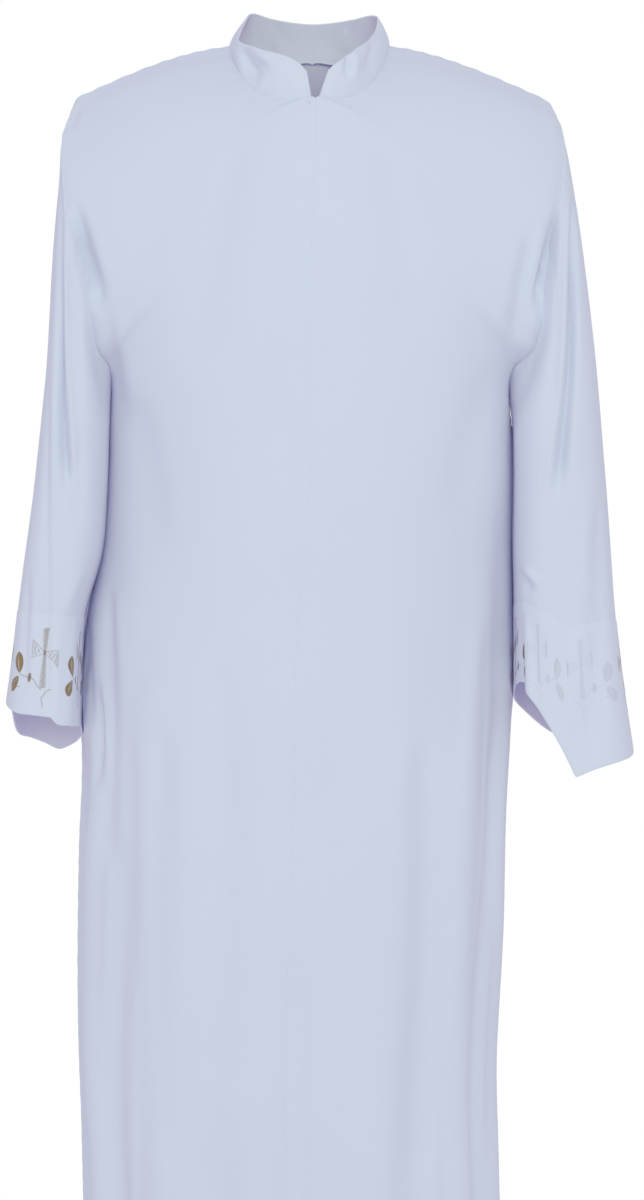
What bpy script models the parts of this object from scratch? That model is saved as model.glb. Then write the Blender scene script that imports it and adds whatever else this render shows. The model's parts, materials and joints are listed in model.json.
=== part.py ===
"""A white alb with a stand collar, as eight closed cloth pieces on the hollow form that they take when worn.

Metres, +Z up, the front faces -Y. The origin is the middle of the neck's base, where the shoulders carry the alb.
The wearer's right is at -X. Each panel is a grid of points: rows run down, columns run across, and the wall is
made inwards from the grid. A table's first line names its columns.
"""

import math

import bpy
import numpy as np

# Driving dimensions
WALL = 0.002
SEAM_GAP = 0.0003
ARMPIT_Z = -0.365
HEM_Z = -1.405
CUFF_BAND_LIFT = 0.0006
CLOTH_COLOUR = (0.80, 0.82, 0.85, 1.0)
CLOTH_ROUGHNESS = 0.85
SHARP_DEGREES = 60

# Grid steps
NECK_ROWS = {"front": 8, "back": 6}
ARMHOLE_ROWS = 12
SKIRT_ROWS = 13
PANEL_COLUMNS = 16
CAP_ROWS = 7
SLEEVE_ROWS = 7
BAND_ROWS = 3
COLLAR_ROWS = 4

# Upper sections, from the shoulder seam down to the armpit. Each runs from the neckline or the centre line to the
# armhole, on a curve with a handle at each end. X is measured from the centre line, whose own place is centre_x.
UPPER_COLUMNS = (
    "row", "centre_x",
    "start_x", "start_y", "start_z", "end_x", "end_y", "end_z",
    "start_pull_x", "start_pull_y", "start_pull_z", "end_pull_x", "end_pull_y", "end_pull_z",
)
UPPER_FRONT = (
    (0, -0.005, 0.0870, 0.010, 0.012, 0.2520, 0.004, -0.047, 0.055, 0.000, -0.006, -0.050, 0.000, 0.023),
    (2, -0.005, 0.0790, -0.022, -0.014, 0.2660, -0.026, -0.086, 0.056, -0.016, -0.012, -0.056, -0.012, 0.028),
    (4, -0.005, 0.0635, -0.053, -0.042, 0.2645, -0.053, -0.138, 0.062, -0.020, -0.022, -0.062, -0.018, 0.028),
    (6, -0.003, 0.0360, -0.072, -0.059, 0.2545, -0.070, -0.195, 0.076, -0.016, -0.030, -0.066, -0.024, 0.024),
    (7, 0.000, 0.0185, -0.077, -0.062, 0.2490, -0.074, -0.224, 0.090, -0.014, -0.033, -0.068, -0.029, 0.021),
    (8, 0.002, 0.0000, -0.080, -0.061, 0.2430, -0.076, -0.253, 0.105, -0.012, -0.036, -0.070, -0.034, 0.018),
    (10, 0.001, 0.0000, -0.107, -0.158, 0.2315, -0.056, -0.318, 0.130, -0.002, -0.020, -0.046, -0.056, 0.006),
)
UPPER_BACK = (
    (0, -0.005, 0.0870, 0.010, 0.012, 0.2520, 0.004, -0.047, 0.055, 0.000, -0.006, -0.050, 0.000, 0.023),
    (2, -0.004, 0.0730, 0.042, 0.009, 0.2665, 0.030, -0.088, 0.060, 0.012, -0.009, -0.060, 0.012, 0.028),
    (4, -0.003, 0.0420, 0.063, 0.006, 0.2655, 0.055, -0.141, 0.076, 0.014, -0.014, -0.066, 0.018, 0.028),
    (5, -0.002, 0.0215, 0.069, 0.005, 0.2615, 0.063, -0.170, 0.088, 0.016, -0.016, -0.067, 0.021, 0.026),
    (6, -0.002, 0.0000, 0.070, 0.005, 0.2570, 0.070, -0.198, 0.100, 0.018, -0.018, -0.068, 0.024, 0.024),
    (8, -0.001, 0.0000, 0.098, -0.074, 0.2455, 0.074, -0.256, 0.110, 0.008, -0.028, -0.070, 0.030, 0.018),
    (10, -0.001, 0.0000, 0.112, -0.176, 0.2325, 0.054, -0.320, 0.130, 0.000, -0.018, -0.046, 0.052, 0.006),
)
# The armholes sit a little to the wearer's left of the neck, and the right shoulder stands a little higher
ARMHOLE_LEAN = 0.004
RIGHT_SHOULDER_RISE = 0.004
RIGHT_SHOULDER_ROWS = 4
# Level sections of the body from the armpit down. The first ones rise towards the middle by up to MIDDLE_RISE.
SKIRT_COLUMNS = ("z", "centre_x", "half_width", "front_y", "back_y", "side_y")
SKIRT = (
    (-0.365, -0.0040, 0.2140, -0.125, 0.113, 0.004),
    (-0.430, -0.0030, 0.2225, -0.128, 0.112, 0.056),
    (-0.500, -0.0035, 0.2255, -0.129, 0.118, 0.076),
    (-0.600, -0.0135, 0.2340, -0.131, 0.126, 0.074),
    (-0.690, -0.0170, 0.2350, -0.135, 0.132, 0.054),
    (-0.760, -0.0190, 0.2300, -0.139, 0.137, 0.022),
    (-0.855, -0.0230, 0.2275, -0.142, 0.143, 0.004),
    (-0.950, -0.0260, 0.2255, -0.144, 0.147, 0.004),
    (-1.080, -0.0290, 0.2212, -0.148, 0.151, 0.004),
    (-1.230, -0.0240, 0.2190, -0.152, 0.156, 0.004),
    (-1.405, -0.0190, 0.2215, -0.156, 0.162, 0.004),
)
MIDDLE_RISE = 0.078
MIDDLE_RISE_ROWS = 2
FRONT_FULLNESS = 0.66
SIDE_FULLNESS = 0.62
# Upright folds of the body. Girth counts 0 at the centre front, 1 at the left seam, 2 at the centre back and 3 at
# the right seam. A fold grows from top_z to the hem, and a positive depth stands out.
FOLD_COLUMNS = ("girth", "half_width", "depth", "top_z")
BODY_FOLDS = (
    (0.00, 0.10, -0.005, -0.90),
    (0.20, 0.11, 0.006, -0.75),
    (0.38, 0.10, -0.010, -0.62),
    (0.55, 0.10, 0.010, -0.50),
    (0.71, 0.09, -0.014, -0.46),
    (0.86, 0.09, 0.010, -0.60),
    (1.03, 0.10, -0.012, -0.55),
    (1.21, 0.10, 0.016, -0.55),
    (1.39, 0.10, -0.022, -0.42),
    (1.57, 0.10, 0.018, -0.38),
    (1.75, 0.10, -0.024, -0.32),
    (1.91, 0.09, 0.014, -0.36),
    (2.07, 0.09, -0.020, -0.28),
    (2.25, 0.10, 0.018, -0.34),
    (2.43, 0.10, -0.024, -0.36),
    (2.61, 0.10, 0.017, -0.42),
    (2.79, 0.10, -0.019, -0.50),
    (2.96, 0.09, 0.008, -0.62),
    (3.12, 0.08, -0.013, -0.50),
    (3.28, 0.10, 0.011, -0.52),
    (3.45, 0.10, -0.012, -0.55),
    (3.63, 0.10, 0.009, -0.60),
    (3.81, 0.10, -0.008, -0.72),
)
FOLD_GROWTH = 0.75

# Level sections of each sleeve, from the upper arm to the hem of the cuff. The band's seam is at one of them.
SLEEVE_COLUMNS = ("z", "outer_x", "inner_x", "front_y", "back_y")
SLEEVES = {
    "right": (
        (-0.410, 0.2922, 0.2255, -0.093, 0.080),
        (-0.470, 0.2990, 0.2270, -0.092, 0.072),
        (-0.535, 0.3060, 0.2290, -0.093, 0.064),
        (-0.603, 0.3120, 0.2480, -0.095, 0.058),
        (-0.660, 0.3182, 0.2520, -0.098, 0.056),
        (-0.715, 0.3250, 0.2520, -0.101, 0.055),
    ),
    "left": (
        (-0.410, 0.3062, 0.2200, -0.092, 0.078),
        (-0.470, 0.3114, 0.2195, -0.089, 0.070),
        (-0.535, 0.3162, 0.2190, -0.085, 0.062),
        (-0.603, 0.3212, 0.2180, -0.082, 0.056),
        (-0.660, 0.3270, 0.2185, -0.081, 0.052),
        (-0.728, 0.3380, 0.2190, -0.082, 0.048),
    ),
}
BAND_SEAM_Z = -0.603
# A section is an oval flattened in front and behind: 2 would be an ellipse, and more is squarer
SQUARENESS = 3.2
# How far the hem of each cuff lies under its last section, by the angle round it: 0 is outside and 90 in front.
# The fall begins at DROP_TOP_Z and quickens towards the hem.
DROP_COLUMNS = ("degrees", "drop")
HEM_DROPS = {
    "right": (
        (0, -0.0223),
        (30, -0.0208),
        (45, -0.0163),
        (60, -0.0122),
        (80, -0.0104),
        (105, -0.0083),
        (112, -0.0075),
        (118, -0.0021),
        (135, 0.0015),
        (160, 0.0035),
        (180, 0.0055),
        (205, 0.0130),
        (241, 0.0292),
        (256, 0.0335),
        (281, 0.0270),
        (300, 0.0215),
        (330, 0.0110),
        (348, -0.0100),
    ),
    "left": (
        (0, 0.0098),
        (20, 0.0180),
        (30, 0.0210),
        (48, 0.0257),
        (62, 0.0300),
        (77, 0.0357),
        (89, 0.0412),
        (92, 0.0421),
        (96, 0.0360),
        (105, 0.0196),
        (115, 0.0025),
        (126, -0.0155),
        (140, -0.0348),
        (155, -0.0500),
        (166, -0.0525),
        (180, -0.0450),
        (200, -0.0330),
        (225, -0.0212),
        (255, 0.0015),
        (300, 0.0090),
        (335, 0.0060),
    ),
}
DROP_TOP_Z = -0.52
DROP_POWER = 1.5
# How the cloth leaves the armhole, by the same angle: 0 at the shoulder, 180 at the armpit
CAP_COLUMNS = ("degrees", "out", "forward", "down", "length")
CAP_LEAVING = {
    "right": (
        (0, 0.30, 0.0, 0.95, 0.150),
        (45, 0.03, 0.20, 0.98, 0.200),
        (90, 0.05, 0.16, 0.98, 0.180),
        (135, 0.16, 0.05, 0.98, 0.110),
        (180, 0.30, 0.0, 0.95, 0.050),
        (225, 0.16, -0.05, 0.98, 0.110),
        (270, 0.05, -0.16, 0.98, 0.180),
        (315, 0.03, -0.20, 0.98, 0.200),
    ),
    "left": (
        (0, 0.40, 0.0, 0.90, 0.150),
        (45, 0.20, 0.24, 0.95, 0.200),
        (90, 0.12, 0.20, 0.97, 0.180),
        (135, 0.20, 0.05, 0.97, 0.110),
        (180, 0.30, 0.0, 0.95, 0.050),
        (225, 0.20, -0.05, 0.97, 0.110),
        (270, 0.12, -0.20, 0.97, 0.180),
        (315, 0.20, -0.24, 0.95, 0.200),
    ),
}

# The largest creases of the sleeves, seen from the front or from the back: a line of (x, z) points, the half width
# of its trough and its depth. X is the wearer's side outwards, as in the sections.
CREASE_COLUMNS = ("view", "line", "half_width", "depth")
CREASES = {
    "right": (
        ("front", ((0.2720, -0.12), (0.2710, -0.29), (0.2665, -0.40), (0.2600, -0.48)), 0.012, 0.006),
        ("front", ((0.2870, -0.36), (0.2900, -0.50), (0.2890, -0.72)), 0.014, 0.006),
        ("front", ((0.228, -0.545), (0.240, -0.575), (0.2530, -0.62)), 0.012, 0.006),
        ("back", ((0.262, -0.24), (0.250, -0.33), (0.262, -0.45)), 0.016, 0.008),
        ("back", ((0.290, -0.30), (0.292, -0.48), (0.286, -0.70)), 0.016, 0.008),
    ),
    "left": (
        ("front", ((0.2810, -0.145), (0.2770, -0.25), (0.2720, -0.36), (0.2580, -0.48)), 0.013, 0.007),
        ("front", ((0.222, -0.55), (0.238, -0.58), (0.255, -0.60)), 0.012, 0.006),
        ("front", ((0.300, -0.46), (0.298, -0.60), (0.290, -0.76)), 0.016, 0.007),
        ("back", ((0.266, -0.23), (0.252, -0.32), (0.270, -0.44)), 0.016, 0.008),
        ("back", ((0.300, -0.32), (0.296, -0.50), (0.286, -0.69)), 0.016, 0.008),
    ),
}
CREASE_TAPER = 0.05
CREASE_END_SHARE = 0.25
CREASE_FACING = 1.6
CREASE_FREE_RINGS = 3

# The collar's top edge, from the wearer's right end round the back to the left end: place counts along the
# neckline, 0 at the notch on the right, 1 at the right seam, 2 at the back, 3 and 4 likewise on the left.
RIM_COLUMNS = ("place", "x", "y", "z")
COLLAR_RIM = (
    (0.00, -0.0076, -0.078, -0.0331),
    (0.10, -0.0150, -0.078, -0.0255),
    (0.25, -0.0285, -0.075, -0.0175),
    (0.50, -0.0560, -0.060, -0.0070),
    (0.72, -0.0805, -0.035, 0.0075),
    (0.86, -0.0795, -0.016, 0.0210),
    (1.00, -0.0740, 0.004, 0.0385),
    (1.20, -0.0690, 0.026, 0.0500),
    (1.50, -0.0470, 0.048, 0.0490),
    (2.00, -0.0020, 0.063, 0.0462),
    (2.50, 0.0420, 0.048, 0.0480),
    (2.80, 0.0640, 0.026, 0.0480),
    (3.00, 0.0695, 0.006, 0.0400),
    (3.14, 0.0670, -0.012, 0.0245),
    (3.28, 0.0600, -0.032, 0.0100),
    (3.50, 0.0455, -0.060, -0.0057),
    (3.75, 0.0320, -0.075, -0.0195),
    (3.90, 0.0210, -0.078, -0.0270),
    (4.00, 0.0154, -0.078, -0.0320),
)
COLLAR_BULGE = 0.0025
# Half the width of the notch between the collar's ends where they meet the neckline
NOTCH_HALF = 0.0035


def named(columns, values):
    """Each column's values under its name."""
    return dict(zip(columns, values))


def smooth(table, places):
    """The columns of a table at these places of its first column, on a smooth curve through its rows."""
    rows = np.array(table, float)
    known, values = rows[:, 0], rows[:, 1:]
    slopes = np.gradient(values, known, axis=0)
    places = np.asarray(places, float)
    i = np.clip(np.searchsorted(known, places, side="right") - 1, 0, len(known) - 2)
    step = (known[i + 1] - known[i])[:, None]
    t = (places - known[i])[:, None] / step
    return (
        (2 * t**3 - 3 * t**2 + 1) * values[i]
        + (t**3 - 2 * t**2 + t) * step * slopes[i]
        + (3 * t**2 - 2 * t**3) * values[i + 1]
        + (t**3 - t**2) * step * slopes[i + 1]
    ).T


def round_table(table, degrees):
    """As smooth, for a table of angles that starts at 0 and closes on itself."""
    before = (table[-1][0] - 360, *table[-1][1:])
    after = [(row[0] + 360, *row[1:]) for row in table[:2]]
    return smooth((before, *table, *after), degrees)


def unit(vectors):
    return vectors / np.maximum(np.linalg.norm(vectors, axis=-1, keepdims=True), 1e-12)


def section_rows(face):
    """Every section of half a front or back, as rows of UPPER_COLUMNS: the upper ones, then the level ones."""
    levels = np.linspace(ARMPIT_Z, HEM_Z, SKIRT_ROWS + 1)
    # The skirt table runs down, and smooth reads upwards
    skirt = named(SKIRT_COLUMNS[1:], smooth(SKIRT[::-1], levels))
    rows = list(UPPER_FRONT if face == "front" else UPPER_BACK)
    for i, z in enumerate(levels):
        half_width, side_y = skirt["half_width"][i], skirt["side_y"][i]
        middle_y = skirt[face + "_y"][i]
        middle_z = z + MIDDLE_RISE * max(0.0, 1 - i / MIDDLE_RISE_ROWS) ** 2
        rows.append((
            ARMHOLE_ROWS + i, skirt["centre_x"][i],
            0.0, middle_y, middle_z, half_width, side_y, z,
            FRONT_FULLNESS * half_width, 0.0, 0.0, 0.0, SIDE_FULLNESS * (middle_y - side_y), 0.0,
        ))
    return rows


def half_panel(face, side):
    """The grid of half a front or back. Side is 1 at the wearer's left and -1 at the right."""
    rows = np.arange(ARMHOLE_ROWS + SKIRT_ROWS + 1)
    section = named(UPPER_COLUMNS[1:], smooth(section_rows(face), rows))
    start, end, start_pull, end_pull = (
        np.stack([section[name + axis] for axis in ("_x", "_y", "_z")], axis=1)
        for name in ("start", "end", "start_pull", "end_pull")
    )
    start[NECK_ROWS[face]:, 0] = 0.0
    t = np.linspace(0, 1, PANEL_COLUMNS + 1)[None, :, None]
    a, b, c, d = (p[:, None, :] for p in (start, start + start_pull, end + end_pull, end))
    grid = (1 - t) ** 3 * a + 3 * (1 - t) ** 2 * t * b + 3 * (1 - t) * t**2 * c + t**3 * d
    grid[:, :, 0] = side * grid[:, :, 0] + section["centre_x"][:, None]
    reach, row = t[:, :, 0], rows[:, None]
    grid[:, :, 0] += ARMHOLE_LEAN * reach * np.clip(1 - (row / ARMHOLE_ROWS) ** 2, 0, 1)
    if side < 0:
        grid[:, :, 2] += RIGHT_SHOULDER_RISE * reach * np.clip(1 - row / RIGHT_SHOULDER_ROWS, 0, 1) ** 2
    return grid


def fold_depth(face, side, grid):
    """How far the body's folds move each point of a half panel outwards."""
    t = np.linspace(0, 1, PANEL_COLUMNS + 1)
    along = t if face == "front" else 2 - t
    girth = along if side > 0 else np.mod(4 - along, 4)
    depth = np.zeros(grid.shape[:2])
    for row in BODY_FOLDS:
        fold = named(FOLD_COLUMNS, row)
        apart = np.abs(np.mod(girth - fold["girth"] + 2, 4) - 2) / fold["half_width"]
        across = np.where(apart < 1, (1 - apart**2) ** 2, 0.0)
        fallen = np.clip((fold["top_z"] - grid[:, :, 2]) / (fold["top_z"] - HEM_Z), 0, 1)
        depth += fold["depth"] * across[None, :] * fallen**FOLD_GROWTH
    return depth


def quads(rows, columns, closed=False, flipped=False):
    """The faces of a grid of rows by columns points, as rows of four numbers."""
    i, j = np.meshgrid(np.arange(rows - 1), np.arange(columns if closed else columns - 1), indexing="ij")
    k = (j + 1) % columns
    faces = np.stack([i * columns + j, (i + 1) * columns + j, (i + 1) * columns + k, i * columns + k], axis=-1)
    faces = faces.reshape(-1, 4)
    return faces[:, ::-1] if flipped else faces


def corner_normals(points, faces):
    """A vector at each point, the sum of its faces' normals."""
    a, b, c, d = (points[faces[:, k]] for k in range(4))
    normals = np.cross(c - a, d - b)
    total = np.zeros_like(points)
    for k in range(4):
        np.add.at(total, faces[:, k], normals)
    return total


def shared_normals(sheets):
    """The normals of several open sheets, alike where their points meet along a seam."""
    points = np.concatenate([sheet_points for sheet_points, _ in sheets])
    sums = np.concatenate([corner_normals(*sheet) for sheet in sheets])
    _, number = np.unique(np.round(points * 1e6).astype(int), axis=0, return_inverse=True)
    number = number.reshape(-1)
    together = np.zeros((number.max() + 1, 3))
    np.add.at(together, number, sums)
    ends = np.cumsum([len(sheet_points) for sheet_points, _ in sheets])[:-1]
    return np.split(unit(together[number]), ends)


def body_panels():
    """{(face, side): (grid, normals)} of the four half panels, with their folds."""
    halves = [(face, side) for face in ("front", "back") for side in (-1, 1)]
    grids = [half_panel(face, side) for face, side in halves]
    # A front seen from outside has its columns run one way, and a back the other
    turned = [(face == "back") == (side > 0) for face, side in halves]
    rows, columns = grids[0].shape[:2]
    faces = [quads(rows, columns, flipped=flip) for flip in turned]

    def with_normals():
        flat = [(grid.reshape(-1, 3), face) for grid, face in zip(grids, faces)]
        return [normal.reshape(grid.shape) for normal, grid in zip(shared_normals(flat), grids)]

    normals = with_normals()
    for i, (face, side) in enumerate(halves):
        grids[i] = grids[i] + normals[i] * fold_depth(face, side, grids[i])[:, :, None]
    normals = with_normals()
    return {half: (grid, normal) for half, grid, normal in zip(halves, grids, normals)}


def towards(points, others, amount):
    return points + unit(others - points) * amount


def seam_inset(grid, face):
    """Half a seam's gap, taken off the shoulder, the neckline, the armhole and the side of a half panel."""
    grid = grid.copy()
    half = SEAM_GAP / 2
    grid[:, -1] = towards(grid[:, -1], grid[:, -2], half)
    # The back is cut on the fold, so its centre line stays where it is
    open_rows = len(grid) if face == "front" else NECK_ROWS[face]
    grid[:open_rows, 0] = towards(grid[:open_rows, 0], grid[:open_rows, 1], half)
    grid[0] = towards(grid[0], grid[1], half)
    return grid


def crease_depth(points, normals, creases, side):
    """How far the creases move each point inwards."""
    depth = np.zeros(points.shape[:-1])
    flat = np.stack([side * points[..., 0], points[..., 2]], axis=-1)
    for row in creases:
        crease = named(CREASE_COLUMNS, row)
        towards_view = normals[..., 1] if crease["view"] == "back" else -normals[..., 1]
        facing = np.clip(towards_view * CREASE_FACING, 0, 1)
        line = np.array(crease["line"])
        lengths = np.linalg.norm(np.diff(line, axis=0), axis=1)
        walked = np.concatenate([[0], np.cumsum(lengths)])
        nearest = np.full(flat.shape[:-1], np.inf)
        along = np.zeros(flat.shape[:-1])
        for k, (a, b) in enumerate(zip(line[:-1], line[1:])):
            t = np.clip(((flat - a) @ (b - a)) / lengths[k] ** 2, 0, 1)
            far = np.linalg.norm(flat - a - t[..., None] * (b - a), axis=-1)
            closer = far < nearest
            nearest = np.where(closer, far, nearest)
            along = np.where(closer, walked[k] + t * lengths[k], along)
        ends = np.clip(np.minimum(along, walked[-1] - along) / CREASE_TAPER, 0, 1)
        lasting = CREASE_END_SHARE + (1 - CREASE_END_SHARE) * ends
        depth += crease["depth"] * facing * np.exp(-((nearest / crease["half_width"]) ** 2)) * lasting
    return depth


def armhole_loop(panels, side):
    """The armhole's points, from the shoulder down the front to the armpit and up the back."""
    front = panels["front", side][0][:ARMHOLE_ROWS + 1, -1]
    back = panels["back", side][0][ARMHOLE_ROWS - 1:0:-1, -1]
    return np.concatenate([front, back])


def sleeve_rings(side, name, degrees):
    """The level rings of a sleeve, from the upper arm to the hem."""
    angle = np.radians(degrees)
    top_z, hem_z = SLEEVES[name][0][0], SLEEVES[name][-1][0]
    levels = np.concatenate([
        np.linspace(top_z, BAND_SEAM_Z, SLEEVE_ROWS + 1),
        np.linspace(BAND_SEAM_Z, hem_z, BAND_ROWS + 1)[1:],
    ])
    section = named(SLEEVE_COLUMNS[1:], smooth(SLEEVES[name][::-1], levels))
    drop = named(DROP_COLUMNS[1:], round_table(HEM_DROPS[name], degrees))["drop"]
    squared = (np.abs(np.cos(angle)) ** SQUARENESS + np.abs(np.sin(angle)) ** SQUARENESS) ** (-1 / SQUARENESS)
    rings = []
    for i, z in enumerate(levels):
        outer_x, inner_x = section["outer_x"][i], section["inner_x"][i]
        front_y, back_y = section["front_y"][i], section["back_y"][i]
        x = (outer_x + inner_x) / 2 + (outer_x - inner_x) / 2 * squared * np.cos(angle)
        y = (front_y + back_y) / 2 + (front_y - back_y) / 2 * squared * np.sin(angle)
        share = np.clip((DROP_TOP_Z - z) / (DROP_TOP_Z - hem_z), 0, 1) ** DROP_POWER
        rings.append(np.stack([side * x, y, z - share * drop], axis=1))
    return np.array(rings)


def sleeve_grid(panels, side, name):
    """The whole sleeve with its band, as rings from the armhole to the hem, and the ring of the band's seam."""
    armhole = armhole_loop(panels, side)
    columns = len(armhole)
    degrees = np.arange(columns) * 360 / columns
    rings = sleeve_rings(side, name, degrees)
    leaving = named(CAP_COLUMNS[1:], round_table(CAP_LEAVING[name], degrees))
    length = leaving["length"][:, None]
    tangent = np.stack([side * leaving["out"], -leaving["forward"], -leaving["down"]], axis=1) * length
    arriving = unit(rings[1] - rings[0]) * length
    t = np.linspace(0, 1, CAP_ROWS + 1)[:-1, None, None]
    cap = (
        (2 * t**3 - 3 * t**2 + 1) * armhole + (t**3 - 2 * t**2 + t) * tangent
        + (3 * t**2 - 2 * t**3) * rings[0] + (t**3 - t**2) * arriving
    )
    grid = np.concatenate([cap, rings])
    faces = quads(len(grid), columns, closed=True, flipped=side > 0)
    normals = unit(corner_normals(grid.reshape(-1, 3), faces)).reshape(grid.shape)
    keep = np.clip(np.arange(len(grid)) / CREASE_FREE_RINGS, 0, 1)[:, None]
    depth = crease_depth(grid, normals, CREASES[name], side) * keep
    grid = grid - normals * depth[:, :, None]
    normals = unit(corner_normals(grid.reshape(-1, 3), faces)).reshape(grid.shape)
    # Beside the armhole the wall goes straight in, so that it stays clear of the panels' walls
    straight = armhole - armhole.mean(axis=0)
    straight[:, 0] = 0
    normals[0] = unit(straight)
    grid[0, :, 0] += side * SEAM_GAP
    return grid, normals, CAP_ROWS + SLEEVE_ROWS


def neck_loop(panels):
    """The neckline's points from the wearer's right of the notch round the back to the left, and their places."""
    front, back = NECK_ROWS["front"], NECK_ROWS["back"]
    right = panels["front", -1][0][front::-1, 0]
    right_back = panels["back", -1][0][1:back + 1, 0]
    left_back = panels["back", 1][0][back - 1:0:-1, 0]
    left = panels["front", 1][0][:front + 1, 0]
    places = np.concatenate([
        np.arange(front + 1) / front,
        1 + np.arange(1, back + 1) / back,
        3 - np.arange(back - 1, 0, -1) / back,
        3 + np.arange(front + 1) / front,
    ])
    return np.concatenate([right, right_back, left_back, left]), places


def collar_grid(panels):
    base, places = neck_loop(panels)
    base = base.copy()
    base[0] = towards(base[0], base[1], NOTCH_HALF)
    base[-1] = towards(base[-1], base[-2], NOTCH_HALF)
    base[:, 2] += SEAM_GAP
    rim = np.stack([named(RIM_COLUMNS[1:], smooth(COLLAR_RIM, places))[axis] for axis in "xyz"], axis=1)
    outwards = (base + rim) / 2
    outwards[:, 2] = 0
    outwards = unit(outwards)
    grid = []
    for t in np.linspace(0, 1, COLLAR_ROWS + 1):
        grid.append(base + (rim - base) * t + outwards * COLLAR_BULGE * math.sin(math.pi * t))
    return np.array(grid)


def thick_piece(name, points, faces, normals, material):
    """A closed wall: the faces outside, the same ones WALL further in, and a strip along each open edge."""
    count = len(points)
    inner = points - normals * WALL
    outside = [tuple(face) for face in faces.tolist()]
    once = {}
    for face in outside:
        for a, b in zip(face, face[1:] + face[:1]):
            if (b, a) in once:
                del once[b, a]
            else:
                once[a, b] = True
    inside = [tuple(reversed([i + count for i in face])) for face in outside]
    strips = [(b, a, a + count, b + count) for a, b in once]
    mesh = bpy.data.meshes.new(name)
    mesh.from_pydata(np.concatenate([points, inner]).tolist(), [], outside + inside + strips)
    mesh.shade_smooth()
    mesh.set_sharp_from_angle(angle=math.radians(SHARP_DEGREES))
    mesh.materials.append(material)
    piece = bpy.data.objects.new(name, mesh)
    bpy.context.scene.collection.objects.link(piece)


def cloth_material(name):
    material = bpy.data.materials.new(name)
    material.use_nodes = True
    shader = material.node_tree.nodes["Principled BSDF"]
    shader.inputs["Base Color"].default_value = CLOTH_COLOUR
    shader.inputs["Roughness"].default_value = CLOTH_ROUGHNESS
    shader.inputs["Metallic"].default_value = 0.0
    return material


def make_front(panels, side, name):
    grid, normals = panels["front", side]
    faces = quads(*grid.shape[:2], flipped=side < 0)
    grid = seam_inset(grid, "front")
    thick_piece(name, grid.reshape(-1, 3), faces, normals.reshape(-1, 3), cloth_material(name))


def make_back(panels):
    """Both halves in one piece, joined below the neckline where they share the centre line."""
    neck = NECK_ROWS["back"]
    grids = [seam_inset(panels["back", side][0], "back") for side in (-1, 1)]
    rows, columns = grids[0].shape[:2]
    count = rows * columns
    faces = np.concatenate([quads(rows, columns), quads(rows, columns, flipped=True) + count])
    centre = np.arange(neck, rows) * columns
    number = np.arange(2 * count)
    number[centre + count] = centre
    kept, number = np.unique(number, return_inverse=True)
    points = np.concatenate([grid.reshape(-1, 3) for grid in grids])[kept]
    normals = np.concatenate([panels["back", side][1].reshape(-1, 3) for side in (-1, 1)])[kept]
    thick_piece("back", points, number.reshape(-1)[faces], normals, cloth_material("back"))


def make_sleeve(panels, side, name):
    grid, normals, seam = sleeve_grid(panels, side, name)
    half = SEAM_GAP / 2
    sleeve = grid[:seam + 1].copy()
    sleeve[-1] = towards(grid[seam], grid[seam - 1], half)
    band = grid[seam:].copy()
    band[0] = towards(grid[seam], grid[seam + 1], half)
    band += normals[seam:] * CUFF_BAND_LIFT
    for piece, part, wall in (("sleeve_", sleeve, normals[:seam + 1]), ("cuff_band_", band, normals[seam:])):
        faces = quads(*part.shape[:2], closed=True, flipped=side > 0)
        label = piece + name
        thick_piece(label, part.reshape(-1, 3), faces, wall.reshape(-1, 3), cloth_material(label))


def make_collar(panels):
    grid = collar_grid(panels)
    faces = quads(*grid.shape[:2])
    points = grid.reshape(-1, 3)
    thick_piece("collar", points, faces, unit(corner_normals(points, faces)), cloth_material("collar"))


for existing in list(bpy.data.objects):
    bpy.data.objects.remove(existing, do_unlink=True)
body = body_panels()
make_front(body, -1, "front_right")
make_front(body, 1, "front_left")
make_back(body)
make_sleeve(body, -1, "right")
make_sleeve(body, 1, "left")
make_collar(body)
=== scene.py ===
"""A white alb with a notched stand collar and embroidered cuff bands, hollow and open as it is when worn.

Metres, +Z up, the front faces -Y and the wearer's right is at -X. Angles round a sleeve start at its outer
side and run over the front. The cloth pieces are thin shells: a grid of points is laid on the form of each
piece, creases and seams are pressed into it, and a wall is made inwards.
"""

import json
import math

import bpy
import numpy as np
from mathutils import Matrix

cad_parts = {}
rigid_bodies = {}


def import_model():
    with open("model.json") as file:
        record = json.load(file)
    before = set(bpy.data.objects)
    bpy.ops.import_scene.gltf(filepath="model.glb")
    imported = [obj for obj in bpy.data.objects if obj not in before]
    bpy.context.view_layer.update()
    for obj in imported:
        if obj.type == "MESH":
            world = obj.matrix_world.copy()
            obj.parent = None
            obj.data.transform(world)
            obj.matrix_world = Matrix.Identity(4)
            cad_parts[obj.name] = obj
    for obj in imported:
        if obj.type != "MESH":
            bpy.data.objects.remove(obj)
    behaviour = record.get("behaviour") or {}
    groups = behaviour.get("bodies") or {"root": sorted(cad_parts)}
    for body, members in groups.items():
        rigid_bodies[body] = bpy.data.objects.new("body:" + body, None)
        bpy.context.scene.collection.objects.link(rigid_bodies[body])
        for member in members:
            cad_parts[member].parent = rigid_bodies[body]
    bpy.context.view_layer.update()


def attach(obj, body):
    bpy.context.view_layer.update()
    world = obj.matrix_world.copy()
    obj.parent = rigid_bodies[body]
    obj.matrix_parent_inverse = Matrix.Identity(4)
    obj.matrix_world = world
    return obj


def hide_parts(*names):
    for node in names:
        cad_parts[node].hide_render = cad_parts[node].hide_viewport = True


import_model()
for loaded in bpy.data.objects:
    loaded.select_set(False)

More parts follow.
